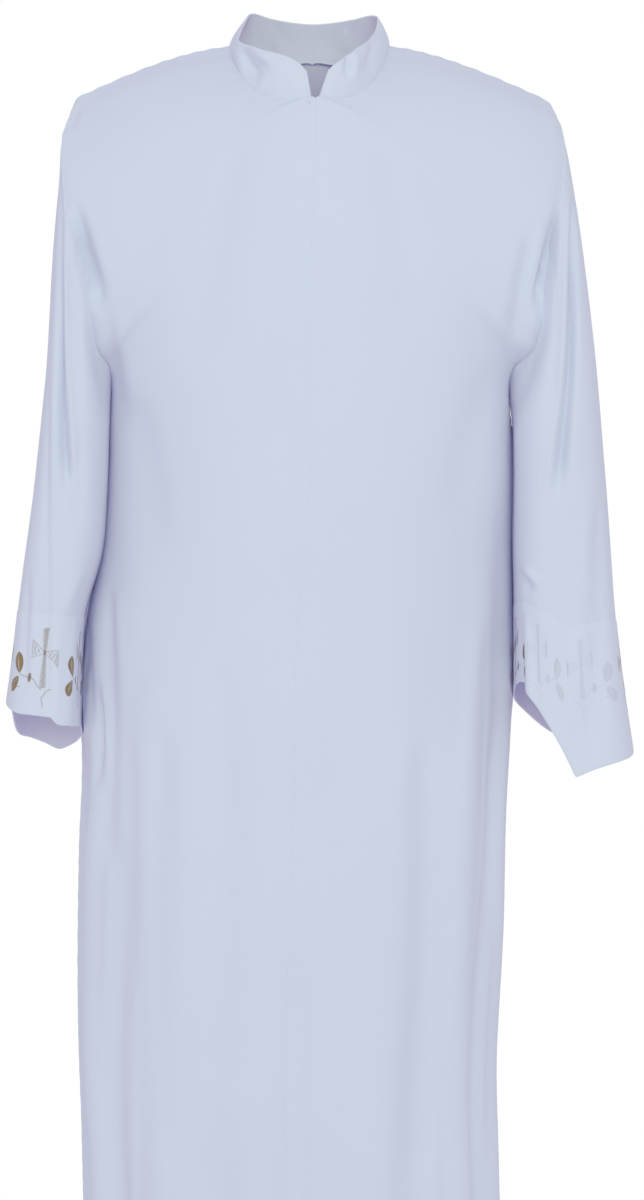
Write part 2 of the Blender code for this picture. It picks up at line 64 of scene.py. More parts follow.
# The two fronts and the back. Fine white plain weave of cotton and polyester, cut with ease, joined by
# plain seams and hemmed with a line of stitches. The upper sections run from the neckline or the centre
# line to the armhole, the level ones go round the body below the armpits.
ARMPIT_Z = -0.365
HEM_Z = -1.405
NECK_ROWS = {"front": 8, "back": 6}
ARMHOLE_ROWS = 12
SKIRT_ROWS = 13
ARMHOLE_STEPS = 8
SKIRT_STEPS = 14
PANEL_COLUMNS = 72
UPPER_COLUMNS = (
    "row", "centre_x",
    "start_x", "start_y", "start_z", "end_x", "end_y", "end_z",
    "start_pull_x", "start_pull_y", "start_pull_z", "end_pull_x", "end_pull_y", "end_pull_z",
)
UPPER_FRONT = (
    (0, -0.005, 0.0870, 0.010, 0.012, 0.2520, 0.004, -0.047, 0.055, 0.000, -0.006, -0.050, 0.000, 0.023),
    (2, -0.005, 0.0790, -0.022, -0.014, 0.2660, -0.026, -0.086, 0.056, -0.016, -0.012, -0.056, -0.012, 0.028),
    (4, -0.005, 0.0635, -0.053, -0.042, 0.2645, -0.053, -0.138, 0.062, -0.020, -0.022, -0.062, -0.018, 0.028),
    (6, -0.003, 0.0360, -0.072, -0.059, 0.2545, -0.070, -0.195, 0.076, -0.016, -0.030, -0.066, -0.024, 0.024),
    (7, 0.000, 0.0185, -0.077, -0.062, 0.2490, -0.074, -0.224, 0.090, -0.014, -0.033, -0.068, -0.029, 0.021),
    (8, 0.002, 0.0000, -0.080, -0.061, 0.2430, -0.076, -0.253, 0.105, -0.012, -0.036, -0.070, -0.034, 0.018),
    (10, 0.001, 0.0000, -0.107, -0.158, 0.2315, -0.056, -0.318, 0.130, -0.002, -0.020, -0.046, -0.056, 0.006),
)
UPPER_BACK = (
    (0, -0.005, 0.0870, 0.010, 0.012, 0.2520, 0.004, -0.047, 0.055, 0.000, -0.006, -0.050, 0.000, 0.023),
    (2, -0.004, 0.0730, 0.042, 0.009, 0.2665, 0.030, -0.088, 0.060, 0.012, -0.009, -0.060, 0.012, 0.028),
    (4, -0.003, 0.0420, 0.063, 0.006, 0.2655, 0.055, -0.141, 0.076, 0.014, -0.014, -0.066, 0.018, 0.028),
    (5, -0.002, 0.0215, 0.069, 0.005, 0.2615, 0.063, -0.170, 0.088, 0.016, -0.016, -0.067, 0.021, 0.026),
    (6, -0.002, 0.0000, 0.070, 0.005, 0.2570, 0.070, -0.198, 0.100, 0.018, -0.018, -0.068, 0.024, 0.024),
    (8, -0.001, 0.0000, 0.098, -0.074, 0.2455, 0.074, -0.256, 0.110, 0.008, -0.028, -0.070, 0.030, 0.018),
    (10, -0.001, 0.0000, 0.112, -0.176, 0.2325, 0.054, -0.320, 0.130, 0.000, -0.018, -0.046, 0.052, 0.006),
)
ARMHOLE_LEAN = 0.004
RIGHT_SHOULDER_RISE = 0.004
RIGHT_SHOULDER_ROWS = 4
SKIRT_COLUMNS = ("z", "centre_x", "half_width", "front_y", "back_y", "side_y")
SKIRT = (
    (-0.365, -0.0040, 0.2140, -0.125, 0.113, 0.004),
    (-0.430, -0.0030, 0.2250, -0.128, 0.112, 0.056),
    (-0.500, -0.0050, 0.2270, -0.129, 0.118, 0.076),
    (-0.600, -0.0158, 0.2363, -0.131, 0.126, 0.074),
    (-0.690, -0.0190, 0.2370, -0.135, 0.132, 0.054),
    (-0.760, -0.0190, 0.2300, -0.139, 0.137, 0.022),
    (-0.855, -0.0230, 0.2275, -0.142, 0.143, 0.004),
    (-0.950, -0.0260, 0.2255, -0.144, 0.147, 0.004),
    (-1.080, -0.0290, 0.2212, -0.148, 0.151, 0.004),
    (-1.230, -0.0240, 0.2190, -0.152, 0.156, 0.004),
    (-1.405, -0.0190, 0.2215, -0.156, 0.162, 0.004),
)
MIDDLE_RISE = 0.078
MIDDLE_RISE_ROWS = 2
FRONT_FULLNESS = 0.66
SIDE_FULLNESS = 0.62
# Girth counts 0 at the centre front, 1 at the left seam, 2 at the centre back and 3 at the right seam. Each
# upright fold wanders a little to and fro on its way down.
FOLD_COLUMNS = ("girth", "half_width", "depth", "top_z")
BODY_FOLDS = (
    (0.00, 0.10, -0.005, -0.90),
    (0.20, 0.11, 0.006, -0.75),
    (0.38, 0.10, -0.010, -0.62),
    (0.55, 0.10, 0.010, -0.50),
    (0.71, 0.09, -0.014, -0.46),
    (0.86, 0.09, 0.010, -0.60),
    (1.03, 0.10, -0.012, -0.55),
    (1.21, 0.10, 0.016, -0.55),
    (1.39, 0.10, -0.022, -0.42),
    (1.57, 0.10, 0.018, -0.38),
    (1.75, 0.10, -0.024, -0.32),
    (1.91, 0.09, 0.014, -0.36),
    (2.07, 0.09, -0.020, -0.28),
    (2.25, 0.10, 0.018, -0.34),
    (2.43, 0.10, -0.024, -0.36),
    (2.61, 0.10, 0.017, -0.42),
    (2.79, 0.10, -0.019, -0.50),
    (2.96, 0.09, 0.008, -0.62),
    (3.12, 0.08, -0.013, -0.50),
    (3.28, 0.10, 0.011, -0.52),
    (3.45, 0.10, -0.012, -0.55),
    (3.63, 0.10, 0.009, -0.60),
    (3.81, 0.10, -0.008, -0.72),
)
FOLD_GROWTH = 0.75
FOLD_WANDER = 0.022
FOLD_WANDER_LENGTH = 0.62
FOLD_PHASE = 2.4
# Creases, seen from the front or from the back: a line of (x, z) points, the half width of the trough, its
# depth, and how far a ridge stands up beside it as a share of that: on the left of the line as it is walked,
# or on its right where the share is below 0
CREASE_COLUMNS = ("view", "line", "half_width", "depth", "ridge")
ARMHOLE_CREASES = (
    ("front", ((-0.2500, -0.056), (-0.2580, -0.071), (-0.2660, -0.090)), 0.0060, 0.0026, 0.2),
    (
        "front", ((-0.2510, -0.165), (-0.2415, -0.215), (-0.2295, -0.262), (-0.2255, -0.292)),
        0.0075, 0.0235, -0.15,
    ),
    ("front", ((0.2620, -0.078), (0.2655, -0.088), (0.2680, -0.098)), 0.0060, 0.0026, 0.2),
    (
        "front", ((0.2590, -0.165), (0.2485, -0.215), (0.2410, -0.258), (0.2350, -0.300)),
        0.0072, 0.0225, 0.15,
    ),
)
FRONT_CREASES = (
    ("front", ((-0.2160, -0.270), (-0.2130, -0.340), (-0.2040, -0.420)), 0.0090, 0.0050, 0.3),
    ("front", ((0.2290, -0.190), (0.2190, -0.260), (0.2070, -0.345)), 0.0100, 0.0085, 0.3),
    ("front", ((-0.0700, -0.090), (-0.1050, -0.200), (-0.1250, -0.360)), 0.0240, 0.0045, 0.3),
    ("front", ((0.0660, -0.095), (0.0930, -0.190), (0.1050, -0.330)), 0.0220, 0.0040, -0.3),
    ("front", ((0.1900, -0.330), (0.1680, -0.400), (0.1500, -0.520)), 0.0190, 0.0050, 0.4),
    ("front", ((-0.1980, -0.350), (-0.1780, -0.430), (-0.1640, -0.560)), 0.0200, 0.0050, -0.4),
    ("front", ((-0.0300, -0.360), (-0.0260, -0.520), (-0.0360, -0.700)), 0.0230, 0.0022, 0.3),
    ("front", ((0.0300, -0.470), (0.0380, -0.640), (0.0300, -0.830)), 0.0260, 0.0024, -0.3),
    ("front", ((-0.0140, -0.940), (-0.0200, -1.120), (-0.0170, -1.400)), 0.0130, 0.0032, 0.5),
    ("front", ((0.0480, -0.860), (0.0420, -1.060), (0.0520, -1.330)), 0.0200, 0.0030, 0.4),
    ("front", ((-0.2440, -0.590), (-0.2420, -0.660), (-0.2370, -0.740)), 0.0060, 0.0080, -0.4),
    ("front", ((-0.2300, -0.660), (-0.2265, -0.720), (-0.2310, -0.800)), 0.0050, 0.0080, 0.5),
    ("front", ((-0.2180, -0.560), (-0.2140, -0.680), (-0.2160, -0.880)), 0.0080, 0.0050, 0.4),
    ("front", ((0.1880, -0.600), (0.1840, -0.760), (0.1870, -0.980)), 0.0120, 0.0050, -0.4),
    ("front", ((-0.1560, -0.700), (-0.1620, -0.900), (-0.1500, -1.180)), 0.0160, 0.0045, 0.4),
    ("front", ((0.1120, -0.720), (0.1170, -0.930), (0.1080, -1.200)), 0.0170, 0.0045, -0.4),
    ("front", ((-0.0960, -0.640), (-0.0880, -0.860), (-0.0980, -1.100)), 0.0190, 0.0035, -0.3),
)
BACK_CREASES = (
    ("back", ((-0.2300, -0.180), (-0.2050, -0.260), (-0.1500, -0.330)), 0.0130, 0.0060, -0.4),
    ("back", ((0.2300, -0.190), (0.2080, -0.270), (0.1600, -0.350)), 0.0130, 0.0060, 0.4),
    ("back", ((-0.1000, -0.060), (-0.0820, -0.160), (-0.0500, -0.300)), 0.0180, 0.0045, 0.3),
    ("back", ((0.0880, -0.055), (0.0740, -0.150), (0.0380, -0.270)), 0.0180, 0.0045, -0.3),
    ("back", ((-0.1900, -0.330), (-0.1400, -0.400), (-0.0700, -0.440)), 0.0150, 0.0045, 0.4),
    ("back", ((0.1840, -0.350), (0.1350, -0.420), (0.0800, -0.450)), 0.0150, 0.0045, -0.4),
    ("back", ((-0.0560, -0.520), (-0.0620, -0.700), (-0.0500, -0.930)), 0.0140, 0.0050, 0.5),
    ("back", ((0.0500, -0.480), (0.0560, -0.700), (0.0460, -0.960)), 0.0150, 0.0050, -0.5),
    ("back", ((0.1500, -0.560), (0.1450, -0.800), (0.1560, -1.080)), 0.0150, 0.0050, 0.4),
    ("back", ((-0.1540, -0.620), (-0.1500, -0.860), (-0.1620, -1.120)), 0.0150, 0.0050, -0.4),
    ("back", ((0.0000, -0.760), (-0.0080, -0.980), (0.0000, -1.300)), 0.0140, 0.0040, 0.4),
)
CREASE_STEPS = 6
FREE_FROM_SEAM = 0.008
FREE_FROM_SHOULDER = 0.003
CREASE_FACING = 1.6
CREASE_TAPER = 0.055
CREASE_TAPER_SHARE = 0.4
CREASE_REACH = 5
CREASE_WIDTHS = (0.7, 0.6)
RIDGE_PLACE = 1.9
UNEVEN_HEIGHT = 0.0016
UNEVEN_SIZE = 0.16
UNEVEN_WAVES = 7
CLOTH = 0.0009
SEAM_EDGE = 0.00012
SEAM_TUCK = 0.0016
SEAM_GROOVE = (0.0006, 0.0002)
PUCKER_HEIGHT = 0.0004
PUCKER_LENGTH = 0.021
PUCKER_FADES = 0.012
PUCKER_DRIFT = 1.7
PUCKER_DRIFT_TURNS = 37
HEM_DEPTH = 0.030
HEM_STEP = 0.0006
HEM_STEP_WIDTH = 0.004
CLOTH_COLOUR = (0.700, 0.760, 0.870, 1.0)
CLOTH_LIGHTER = (0.735, 0.790, 0.895, 1.0)
THREAD_PITCH = 0.00062


def named(columns, values):
    """Each column's values under its name."""
    return dict(zip(columns, values))


def smooth(table, places):
    """The columns of a table at these places of its first column, on a smooth curve through its rows."""
    rows = np.array(table, float)
    known, values = rows[:, 0], rows[:, 1:]
    slopes = np.gradient(values, known, axis=0)
    places = np.asarray(places, float)
    i = np.clip(np.searchsorted(known, places, side="right") - 1, 0, len(known) - 2)
    step = (known[i + 1] - known[i])[:, None]
    t = (places - known[i])[:, None] / step
    return (
        (2 * t**3 - 3 * t**2 + 1) * values[i]
        + (t**3 - 2 * t**2 + t) * step * slopes[i]
        + (3 * t**2 - 2 * t**3) * values[i + 1]
        + (t**3 - t**2) * step * slopes[i + 1]
    ).T


def unit(vectors):
    return vectors / np.maximum(np.linalg.norm(vectors, axis=-1, keepdims=True), 1e-12)


def section_rows(face):
    """Every section of half a front or back as rows of UPPER_COLUMNS, from the neck to the hem."""
    levels = np.linspace(ARMPIT_Z, HEM_Z, SKIRT_ROWS + 1)
    skirt = named(SKIRT_COLUMNS[1:], smooth(SKIRT[::-1], levels))
    rows = list(UPPER_FRONT if face == "front" else UPPER_BACK)
    for i, z in enumerate(levels):
        half_width, side_y = skirt["half_width"][i], skirt["side_y"][i]
        middle_y = skirt[face + "_y"][i]
        middle_z = z + MIDDLE_RISE * max(0.0, 1 - i / MIDDLE_RISE_ROWS) ** 2
        rows.append((
            ARMHOLE_ROWS + i, skirt["centre_x"][i],
            0.0, middle_y, middle_z, half_width, side_y, z,
            FRONT_FULLNESS * half_width, 0.0, 0.0, 0.0, SIDE_FULLNESS * (middle_y - side_y), 0.0,
        ))
    return rows


panel_rows = np.concatenate([
    np.arange(ARMHOLE_ROWS * ARMHOLE_STEPS) / ARMHOLE_STEPS,
    ARMHOLE_ROWS + np.arange(SKIRT_ROWS * SKIRT_STEPS + 1) / SKIRT_STEPS,
])
armpit_row = ARMHOLE_ROWS * ARMHOLE_STEPS


def half_panel(face, side):
    """The grid of half a front or back. Side is 1 at the wearer's left and -1 at the right."""
    section = named(UPPER_COLUMNS[1:], smooth(section_rows(face), panel_rows))
    start, end, start_pull, end_pull = (
        np.stack([section[name + axis] for axis in ("_x", "_y", "_z")], axis=1)
        for name in ("start", "end", "start_pull", "end_pull")
    )
    start[panel_rows >= NECK_ROWS[face], 0] = 0.0
    t = np.linspace(0, 1, PANEL_COLUMNS + 1)[None, :, None]
    a, b, c, d = (p[:, None, :] for p in (start, start + start_pull, end + end_pull, end))
    grid = (1 - t) ** 3 * a + 3 * (1 - t) ** 2 * t * b + 3 * (1 - t) * t**2 * c + t**3 * d
    grid[:, :, 0] = side * grid[:, :, 0] + section["centre_x"][:, None]
    reach, row = t[:, :, 0], panel_rows[:, None]
    grid[:, :, 0] += ARMHOLE_LEAN * reach * np.clip(1 - (row / ARMHOLE_ROWS) ** 2, 0, 1)
    if side < 0:
        grid[:, :, 2] += RIGHT_SHOULDER_RISE * reach * np.clip(1 - row / RIGHT_SHOULDER_ROWS, 0, 1) ** 2
    return grid


def fold_depth(face, side, grid):
    """How far the upright folds move each point of a half panel outwards."""
    t = np.linspace(0, 1, PANEL_COLUMNS + 1)
    along = t if face == "front" else 2 - t
    girth = along if side > 0 else np.mod(4 - along, 4)
    depth = np.zeros(grid.shape[:2])
    for k, row in enumerate(BODY_FOLDS):
        fold = named(FOLD_COLUMNS, row)
        phase = grid[:, :, 2] * 2 * math.pi / FOLD_WANDER_LENGTH + FOLD_PHASE * k
        place = fold["girth"] + FOLD_WANDER * np.sin(phase)
        apart = np.abs(np.mod(girth[None, :] - place + 2, 4) - 2) / fold["half_width"]
        across = np.where(apart < 1, (1 - apart**2) ** 2, 0.0)
        fallen = np.clip((fold["top_z"] - grid[:, :, 2]) / (fold["top_z"] - HEM_Z), 0, 1)
        depth += fold["depth"] * across * fallen**FOLD_GROWTH
    return depth


def quads(rows, columns, closed=False, flipped=False):
    """The faces of a grid of rows by columns points, as rows of four numbers."""
    across = np.arange(columns if closed else columns - 1)
    i, j = np.meshgrid(np.arange(rows - 1), across, indexing="ij")
    k = (j + 1) % columns
    above, below = i * columns, (i + 1) * columns
    faces = np.stack([above + j, below + j, below + k, above + k], axis=-1).reshape(-1, 4)
    return faces[:, ::-1] if flipped else faces


def corner_normals(points, faces):
    """A vector at each point, the sum of its faces' normals."""
    a, b, c, d = (points[faces[:, k]] for k in range(4))
    normals = np.cross(c - a, d - b)
    total = np.zeros_like(points)
    for k in range(4):
        np.add.at(total, faces[:, k], normals)
    return total


def grid_normals(grid, faces):
    return unit(corner_normals(grid.reshape(-1, 3), faces)).reshape(grid.shape)


def shared_normals(sheets):
    """The normals of several open sheets, alike where their points meet along a seam."""
    points = np.concatenate([sheet_points for sheet_points, _ in sheets])
    sums = np.concatenate([corner_normals(*sheet) for sheet in sheets])
    _, number = np.unique(np.round(points * 1e5).astype(int), axis=0, return_inverse=True)
    number = number.reshape(-1)
    together = np.zeros((number.max() + 1, 3))
    np.add.at(together, number, sums)
    ends = np.cumsum([len(sheet_points) for sheet_points, _ in sheets])[:-1]
    return np.split(unit(together[number]), ends)


def crease_depth(points, normals, creases):
    """How far the creases move each point inwards."""
    flat = points[..., [0, 2]].reshape(-1, 2)
    to_front = -normals[..., 1].reshape(-1)
    depth = np.zeros(len(flat))
    for row in creases:
        crease = named(CREASE_COLUMNS, row)
        corners = [(k, *corner) for k, corner in enumerate(crease["line"])]
        steps = np.linspace(0, len(corners) - 1, CREASE_STEPS * (len(corners) - 1) + 1)
        line = smooth(corners, steps).T
        facing = np.clip((to_front if crease["view"] == "front" else -to_front) * CREASE_FACING, 0, 1)
        reach = CREASE_REACH * crease["half_width"]
        near = (flat > line.min(axis=0) - reach).all(axis=1) & (flat < line.max(axis=0) + reach).all(axis=1)
        near &= facing > 0
        here = flat[near]
        lengths = np.linalg.norm(np.diff(line, axis=0), axis=1)
        walked = np.concatenate([[0], np.cumsum(lengths)])
        nearest = np.full(len(here), np.inf)
        along, left = np.zeros(len(here)), np.ones(len(here))
        for k, (a, b) in enumerate(zip(line[:-1], line[1:])):
            t = np.clip(((here - a) @ (b - a)) / lengths[k] ** 2, 0, 1)
            away = here - a - t[:, None] * (b - a)
            far = np.linalg.norm(away, axis=1)
            turn = np.sign((b - a)[0] * away[:, 1] - (b - a)[1] * away[:, 0])
            closer = far < nearest
            nearest = np.where(closer, far, nearest)
            along = np.where(closer, walked[k] + t * lengths[k], along)
            left = np.where(closer, turn, left)
        share = along / walked[-1]
        width = crease["half_width"] * (CREASE_WIDTHS[0] + CREASE_WIDTHS[1] * share)
        from_end = np.minimum(along, walked[-1] - along)
        ends = np.clip(from_end / min(CREASE_TAPER, CREASE_TAPER_SHARE * walked[-1]), 0, 1)
        beyond = np.exp(-((from_end <= 0) * nearest / width) ** 2)
        trough = np.exp(-((nearest / width) ** 2))
        raised = np.exp(-((left * np.sign(crease["ridge"]) * nearest / width - RIDGE_PLACE) ** 2))
        lasting = ends**2 * (3 - 2 * ends) * beyond
        depth[near] += crease["depth"] * facing[near] * lasting * (trough - abs(crease["ridge"]) * raised)
    return depth.reshape(points.shape[:-1])


def unevenness(points, seed):
    """A soft unevenness between about -1 and 1, the sum of a few waves that cross each other."""
    draw = np.random.default_rng(seed)
    total = np.zeros(points.shape[:-1])
    for _ in range(UNEVEN_WAVES):
        direction = unit(draw.normal(size=3) * (1.0, 1.0, 0.5))
        length = UNEVEN_SIZE * draw.uniform(0.55, 1.5)
        total += np.sin(points @ direction * 2 * math.pi / length + draw.uniform(0, 2 * math.pi))
    return total / (UNEVEN_WAVES / 2)


def pucker(distance, walked, seed):
    """The small ripples along a seam, by the distance from it and the way walked along it."""
    drift = PUCKER_DRIFT * np.sin(walked * PUCKER_DRIFT_TURNS + seed)
    wave = np.sin(2 * math.pi * walked / PUCKER_LENGTH + drift)
    return PUCKER_HEIGHT * wave * np.exp(-distance / PUCKER_FADES)


def walk(points, axis):
    """The way walked along an axis of a grid of points, from its first row or column."""
    steps = np.linalg.norm(np.diff(points, axis=axis), axis=-1)
    start = np.zeros_like(np.take(steps, [0], axis=axis))
    return np.concatenate([start, np.cumsum(steps, axis=axis)], axis=axis)


def towards(points, others, amount):
    return points + unit(others - points) * amount


def tucked(grid, normals):
    """One more row before a grid's first, past the seam and under the cloth that the piece is sewn to."""
    return (towards(grid[0], grid[1], -SEAM_TUCK) - normals[0] * SEAM_TUCK / 2)[None]


def math_nodes(tree):
    """A function that adds a math node to this tree and returns its output."""
    def math_node(operation, first, second=None, third=None):
        node = tree.nodes.new("ShaderNodeMath")
        node.operation = operation
        for socket, value in zip(node.inputs, (first, second, third)):
            if isinstance(value, (int, float)):
                socket.default_value = value
            elif value is not None:
                tree.links.new(value, socket)
        return node.outputs[0]

    return math_node


def cloth_group():
    """Plain weave in metres of the cloth's UV map: how high each thread stands, and how its tone varies."""
    group = bpy.data.node_groups.new("plain_weave", "ShaderNodeTree")
    for name in ("Across", "Down"):
        group.interface.new_socket(name, in_out="INPUT", socket_type="NodeSocketFloat")
    pitch = group.interface.new_socket("Pitch", in_out="INPUT", socket_type="NodeSocketFloat")
    pitch.default_value = THREAD_PITCH
    group.interface.new_socket("Height", in_out="OUTPUT", socket_type="NodeSocketFloat")
    group.interface.new_socket("Tone", in_out="OUTPUT", socket_type="NodeSocketFloat")
    nodes, links = group.nodes, group.links
    given, out = nodes.new("NodeGroupInput"), nodes.new("NodeGroupOutput")
    math_node = math_nodes(group)

    def slubs(stretch_across, stretch_down, scale):
        place = nodes.new("ShaderNodeCombineXYZ")
        links.new(math_node("MULTIPLY", given.outputs["Across"], stretch_across), place.inputs["X"])
        links.new(math_node("MULTIPLY", given.outputs["Down"], stretch_down), place.inputs["Y"])
        noise = nodes.new("ShaderNodeTexNoise")
        noise.inputs["Scale"].default_value = scale
        noise.inputs["Detail"].default_value = 2.0
        links.new(place.outputs[0], noise.inputs["Vector"])
        return noise.outputs["Fac"]

    across = math_node("DIVIDE", given.outputs["Across"], given.outputs["Pitch"])
    down = math_node("DIVIDE", given.outputs["Down"], given.outputs["Pitch"])
    warp = math_node("ABSOLUTE", math_node("SINE", math_node("MULTIPLY", across, math.pi)))
    weft = math_node("ABSOLUTE", math_node("SINE", math_node("MULTIPLY", down, math.pi)))
    parity = math_node("ADD", math_node("FLOOR", across), math_node("FLOOR", down))
    over = math_node("PINGPONG", parity, 1.0)
    under = math_node("SUBTRACT", 1.0, over)
    high_warp = math_node("MULTIPLY", warp, math_node("MULTIPLY_ADD", over, 0.6, 0.4))
    high_weft = math_node("MULTIPLY", weft, math_node("MULTIPLY_ADD", under, 0.6, 0.4))
    thick_warp = slubs(900.0, 22.0, 1.0)
    thick_weft = slubs(22.0, 900.0, 1.0)
    slub = math_node("ADD", thick_warp, thick_weft)
    woven = math_node("MAXIMUM", high_warp, high_weft)
    links.new(math_node("MULTIPLY", woven, math_node("MULTIPLY_ADD", slub, 0.6, 0.35)), out.inputs["Height"])
    cloudy = slubs(1.0, 1.0, 7.0)
    tone = math_node("ADD", math_node("MULTIPLY", slub, 0.5), math_node("MULTIPLY_ADD", cloudy, 0.7, -0.35))
    links.new(tone, out.inputs["Tone"])
    return group


plain_weave = cloth_group()


def cloth_material(name, dark, light, pitch, relief):
    """White cloth with its weave in the surface, a faint change of tone and the sheen of fine fibres."""
    material = bpy.data.materials.new(name)
    material.use_nodes = True
    nodes, links = material.node_tree.nodes, material.node_tree.links
    shader = nodes["Principled BSDF"]
    shader.inputs["Roughness"].default_value = 0.86
    shader.inputs["Specular IOR Level"].default_value = 0.28
    shader.inputs["Sheen Weight"].default_value = 0.16
    shader.inputs["Sheen Roughness"].default_value = 0.45
    place = nodes.new("ShaderNodeUVMap")
    place.uv_map = "cloth"
    parts = nodes.new("ShaderNodeSeparateXYZ")
    links.new(place.outputs["UV"], parts.inputs[0])
    weave = nodes.new("ShaderNodeGroup")
    weave.node_tree = plain_weave
    weave.inputs["Pitch"].default_value = pitch
    links.new(parts.outputs["X"], weave.inputs["Across"])
    links.new(parts.outputs["Y"], weave.inputs["Down"])
    colour = nodes.new("ShaderNodeMix")
    colour.data_type = "RGBA"
    colour.inputs["A"].default_value = dark
    colour.inputs["B"].default_value = light
    links.new(weave.outputs["Tone"], colour.inputs["Factor"])
    links.new(colour.outputs["Result"], shader.inputs["Base Color"])
    bump = nodes.new("ShaderNodeBump")
    bump.inputs["Strength"].default_value = relief
    bump.inputs["Distance"].default_value = 0.00022
    links.new(weave.outputs["Height"], bump.inputs["Height"])
    links.new(bump.outputs["Normal"], shader.inputs["Normal"])
    return material


alb_cloth = cloth_material("alb_cloth", CLOTH_COLOUR, CLOTH_LIGHTER, THREAD_PITCH, 0.35)


def mesh_object(name, points, faces, materials, uv=None, sharp_degrees=40):
    """An object of four-cornered faces, with a UV place for each point if given."""
    mesh = bpy.data.meshes.new(name)
    mesh.vertices.add(len(points))
    mesh.vertices.foreach_set("co", np.ascontiguousarray(points, np.float32).ravel())
    mesh.loops.add(faces.size)
    mesh.loops.foreach_set("vertex_index", np.ascontiguousarray(faces, np.int32).ravel())
    mesh.polygons.add(len(faces))
    mesh.polygons.foreach_set("loop_start", np.arange(0, faces.size, 4, dtype=np.int32))
    mesh.update(calc_edges=True)
    if uv is not None:
        layer = mesh.uv_layers.new(name="cloth")
        layer.data.foreach_set("uv", np.ascontiguousarray(uv[faces.ravel()], np.float32).ravel())
    for material in materials:
        mesh.materials.append(material)
    mesh.shade_smooth()
    mesh.set_sharp_from_angle(angle=math.radians(sharp_degrees))
    made = bpy.data.objects.new(name, mesh)
    bpy.context.scene.collection.objects.link(made)
    return made


def cloth_shell(name, points, faces, normals, uv, wall, material):
    """A thin closed wall: the outer grid, the same one further in, and a rounded strip on each edge."""
    count = len(points)
    edges = np.concatenate([faces[:, [k, (k + 1) % 4]] for k in range(4)])
    ordered = np.sort(edges, axis=1)
    keys = ordered[:, 0] * count + ordered[:, 1]
    _, number, uses = np.unique(keys, return_inverse=True, return_counts=True)
    rim = edges[uses[number.reshape(-1)] == 1]
    outwards = np.zeros_like(points)
    side = np.cross(points[rim[:, 1]] - points[rim[:, 0]], normals[rim[:, 0]])
    for k in range(2):
        np.add.at(outwards, rim[:, k], unit(side))
    edge_points = np.unique(rim)
    middle = np.zeros(count, int)
    middle[edge_points] = 2 * count + np.arange(len(edge_points))
    rounded = (points - normals * wall / 2 + unit(outwards) * wall * 0.45)[edge_points]
    a, b = rim.T
    walls = np.concatenate([
        faces,
        faces[:, ::-1] + count,
        np.stack([b, a, middle[a], middle[b]], axis=1),
        np.stack([middle[b], middle[a], a + count, b + count], axis=1),
    ])
    all_points = np.concatenate([points, points - normals * wall, rounded])
    return mesh_object(name, all_points, walls, [material], np.concatenate([uv, uv, uv[edge_points]]))


panels = {}
halves = [(face, side) for face in ("front", "back") for side in (-1, 1)]
panel_faces = {
    (face, side): quads(len(panel_rows), PANEL_COLUMNS + 1, flipped=(face == "back") == (side > 0))
    for face, side in halves
}


def panel_normals(grids):
    flat = [(grid.reshape(-1, 3), panel_faces[half]) for half, grid in zip(halves, grids)]
    return [normal.reshape(grid.shape) for normal, grid in zip(shared_normals(flat), grids)]


grids = [half_panel(face, side) for face, side in halves]
normals = panel_normals(grids)
for i, (face, side) in enumerate(halves):
    grids[i] = grids[i] + normals[i] * fold_depth(face, side, grids[i])[:, :, None]
normals = panel_normals(grids)
uncreased = [grid.copy() for grid in grids]
for i, (face, side) in enumerate(halves):
    if face == "front":
        grids[i] = grids[i] - normals[i] * crease_depth(grids[i], normals[i], ARMHOLE_CREASES)[:, :, None]
normals = panel_normals(grids)
# The armholes and the neckline stay where the sleeves and the collar are sewn on
seam_places = [grid.copy() for grid in grids]
for i, (face, side) in enumerate(halves):
    grid, normal = grids[i], normals[i]
    down, across = walk(grid, 0), walk(grid, 1)
    from_side = across[:, -1:] - across
    from_start = np.where(panel_rows[:, None] < NECK_ROWS[face], across, 1.0)
    from_seam = np.minimum(np.minimum(from_side, from_start), down + FREE_FROM_SHOULDER)
    free = 1 - np.exp(-((from_seam / FREE_FROM_SEAM) ** 2))
    inwards = crease_depth(grid, normal, FRONT_CREASES if face == "front" else BACK_CREASES)
    inwards += UNEVEN_HEIGHT * unevenness(grid, 11)
    inwards *= free
    inwards += pucker(from_side, down, 3 * side) + pucker(down, across, 5)
    if face == "front":
        inwards += pucker(across, down, 8)
    from_hem = down[-1:] - down
    inwards -= HEM_STEP * np.clip((HEM_DEPTH - from_hem) / HEM_STEP_WIDTH + 0.5, 0, 1)
    for k, groove in enumerate(SEAM_GROOVE):
        inwards[:, -1 - k] += groove
        inwards[k] += groove
        if face == "front":
            inwards[:, k] += groove
    grids[i] = grid - normal * inwards[:, :, None]
normals = panel_normals(grids)
for half, grid, normal, place, first in zip(halves, grids, normals, seam_places, uncreased):
    panels[half] = {"grid": grid, "normals": normal, "seam": place, "uncreased": first}


def panel_uv(half):
    """Metres across from the centre line, and down."""
    grid, side = panels[half]["grid"], half[1]
    across = walk(grid, 1) * side
    down = np.repeat(walk(grid, 0).mean(axis=1, keepdims=True), grid.shape[1], axis=1)
    return np.stack([across, down], axis=-1).reshape(-1, 2)


def inset_panel(half):
    """A half panel's points, drawn in by the width of the seams' rounded edges."""
    grid = panels[half]["grid"].copy()
    open_rows = len(grid) if half[0] == "front" else int(np.sum(panel_rows < NECK_ROWS["back"]))
    grid[:, -1] = towards(grid[:, -1], grid[:, -2], SEAM_EDGE)
    grid[:open_rows, 0] = towards(grid[:open_rows, 0], grid[:open_rows, 1], SEAM_EDGE)
    grid[0] = towards(grid[0], grid[1], SEAM_EDGE)
    return grid


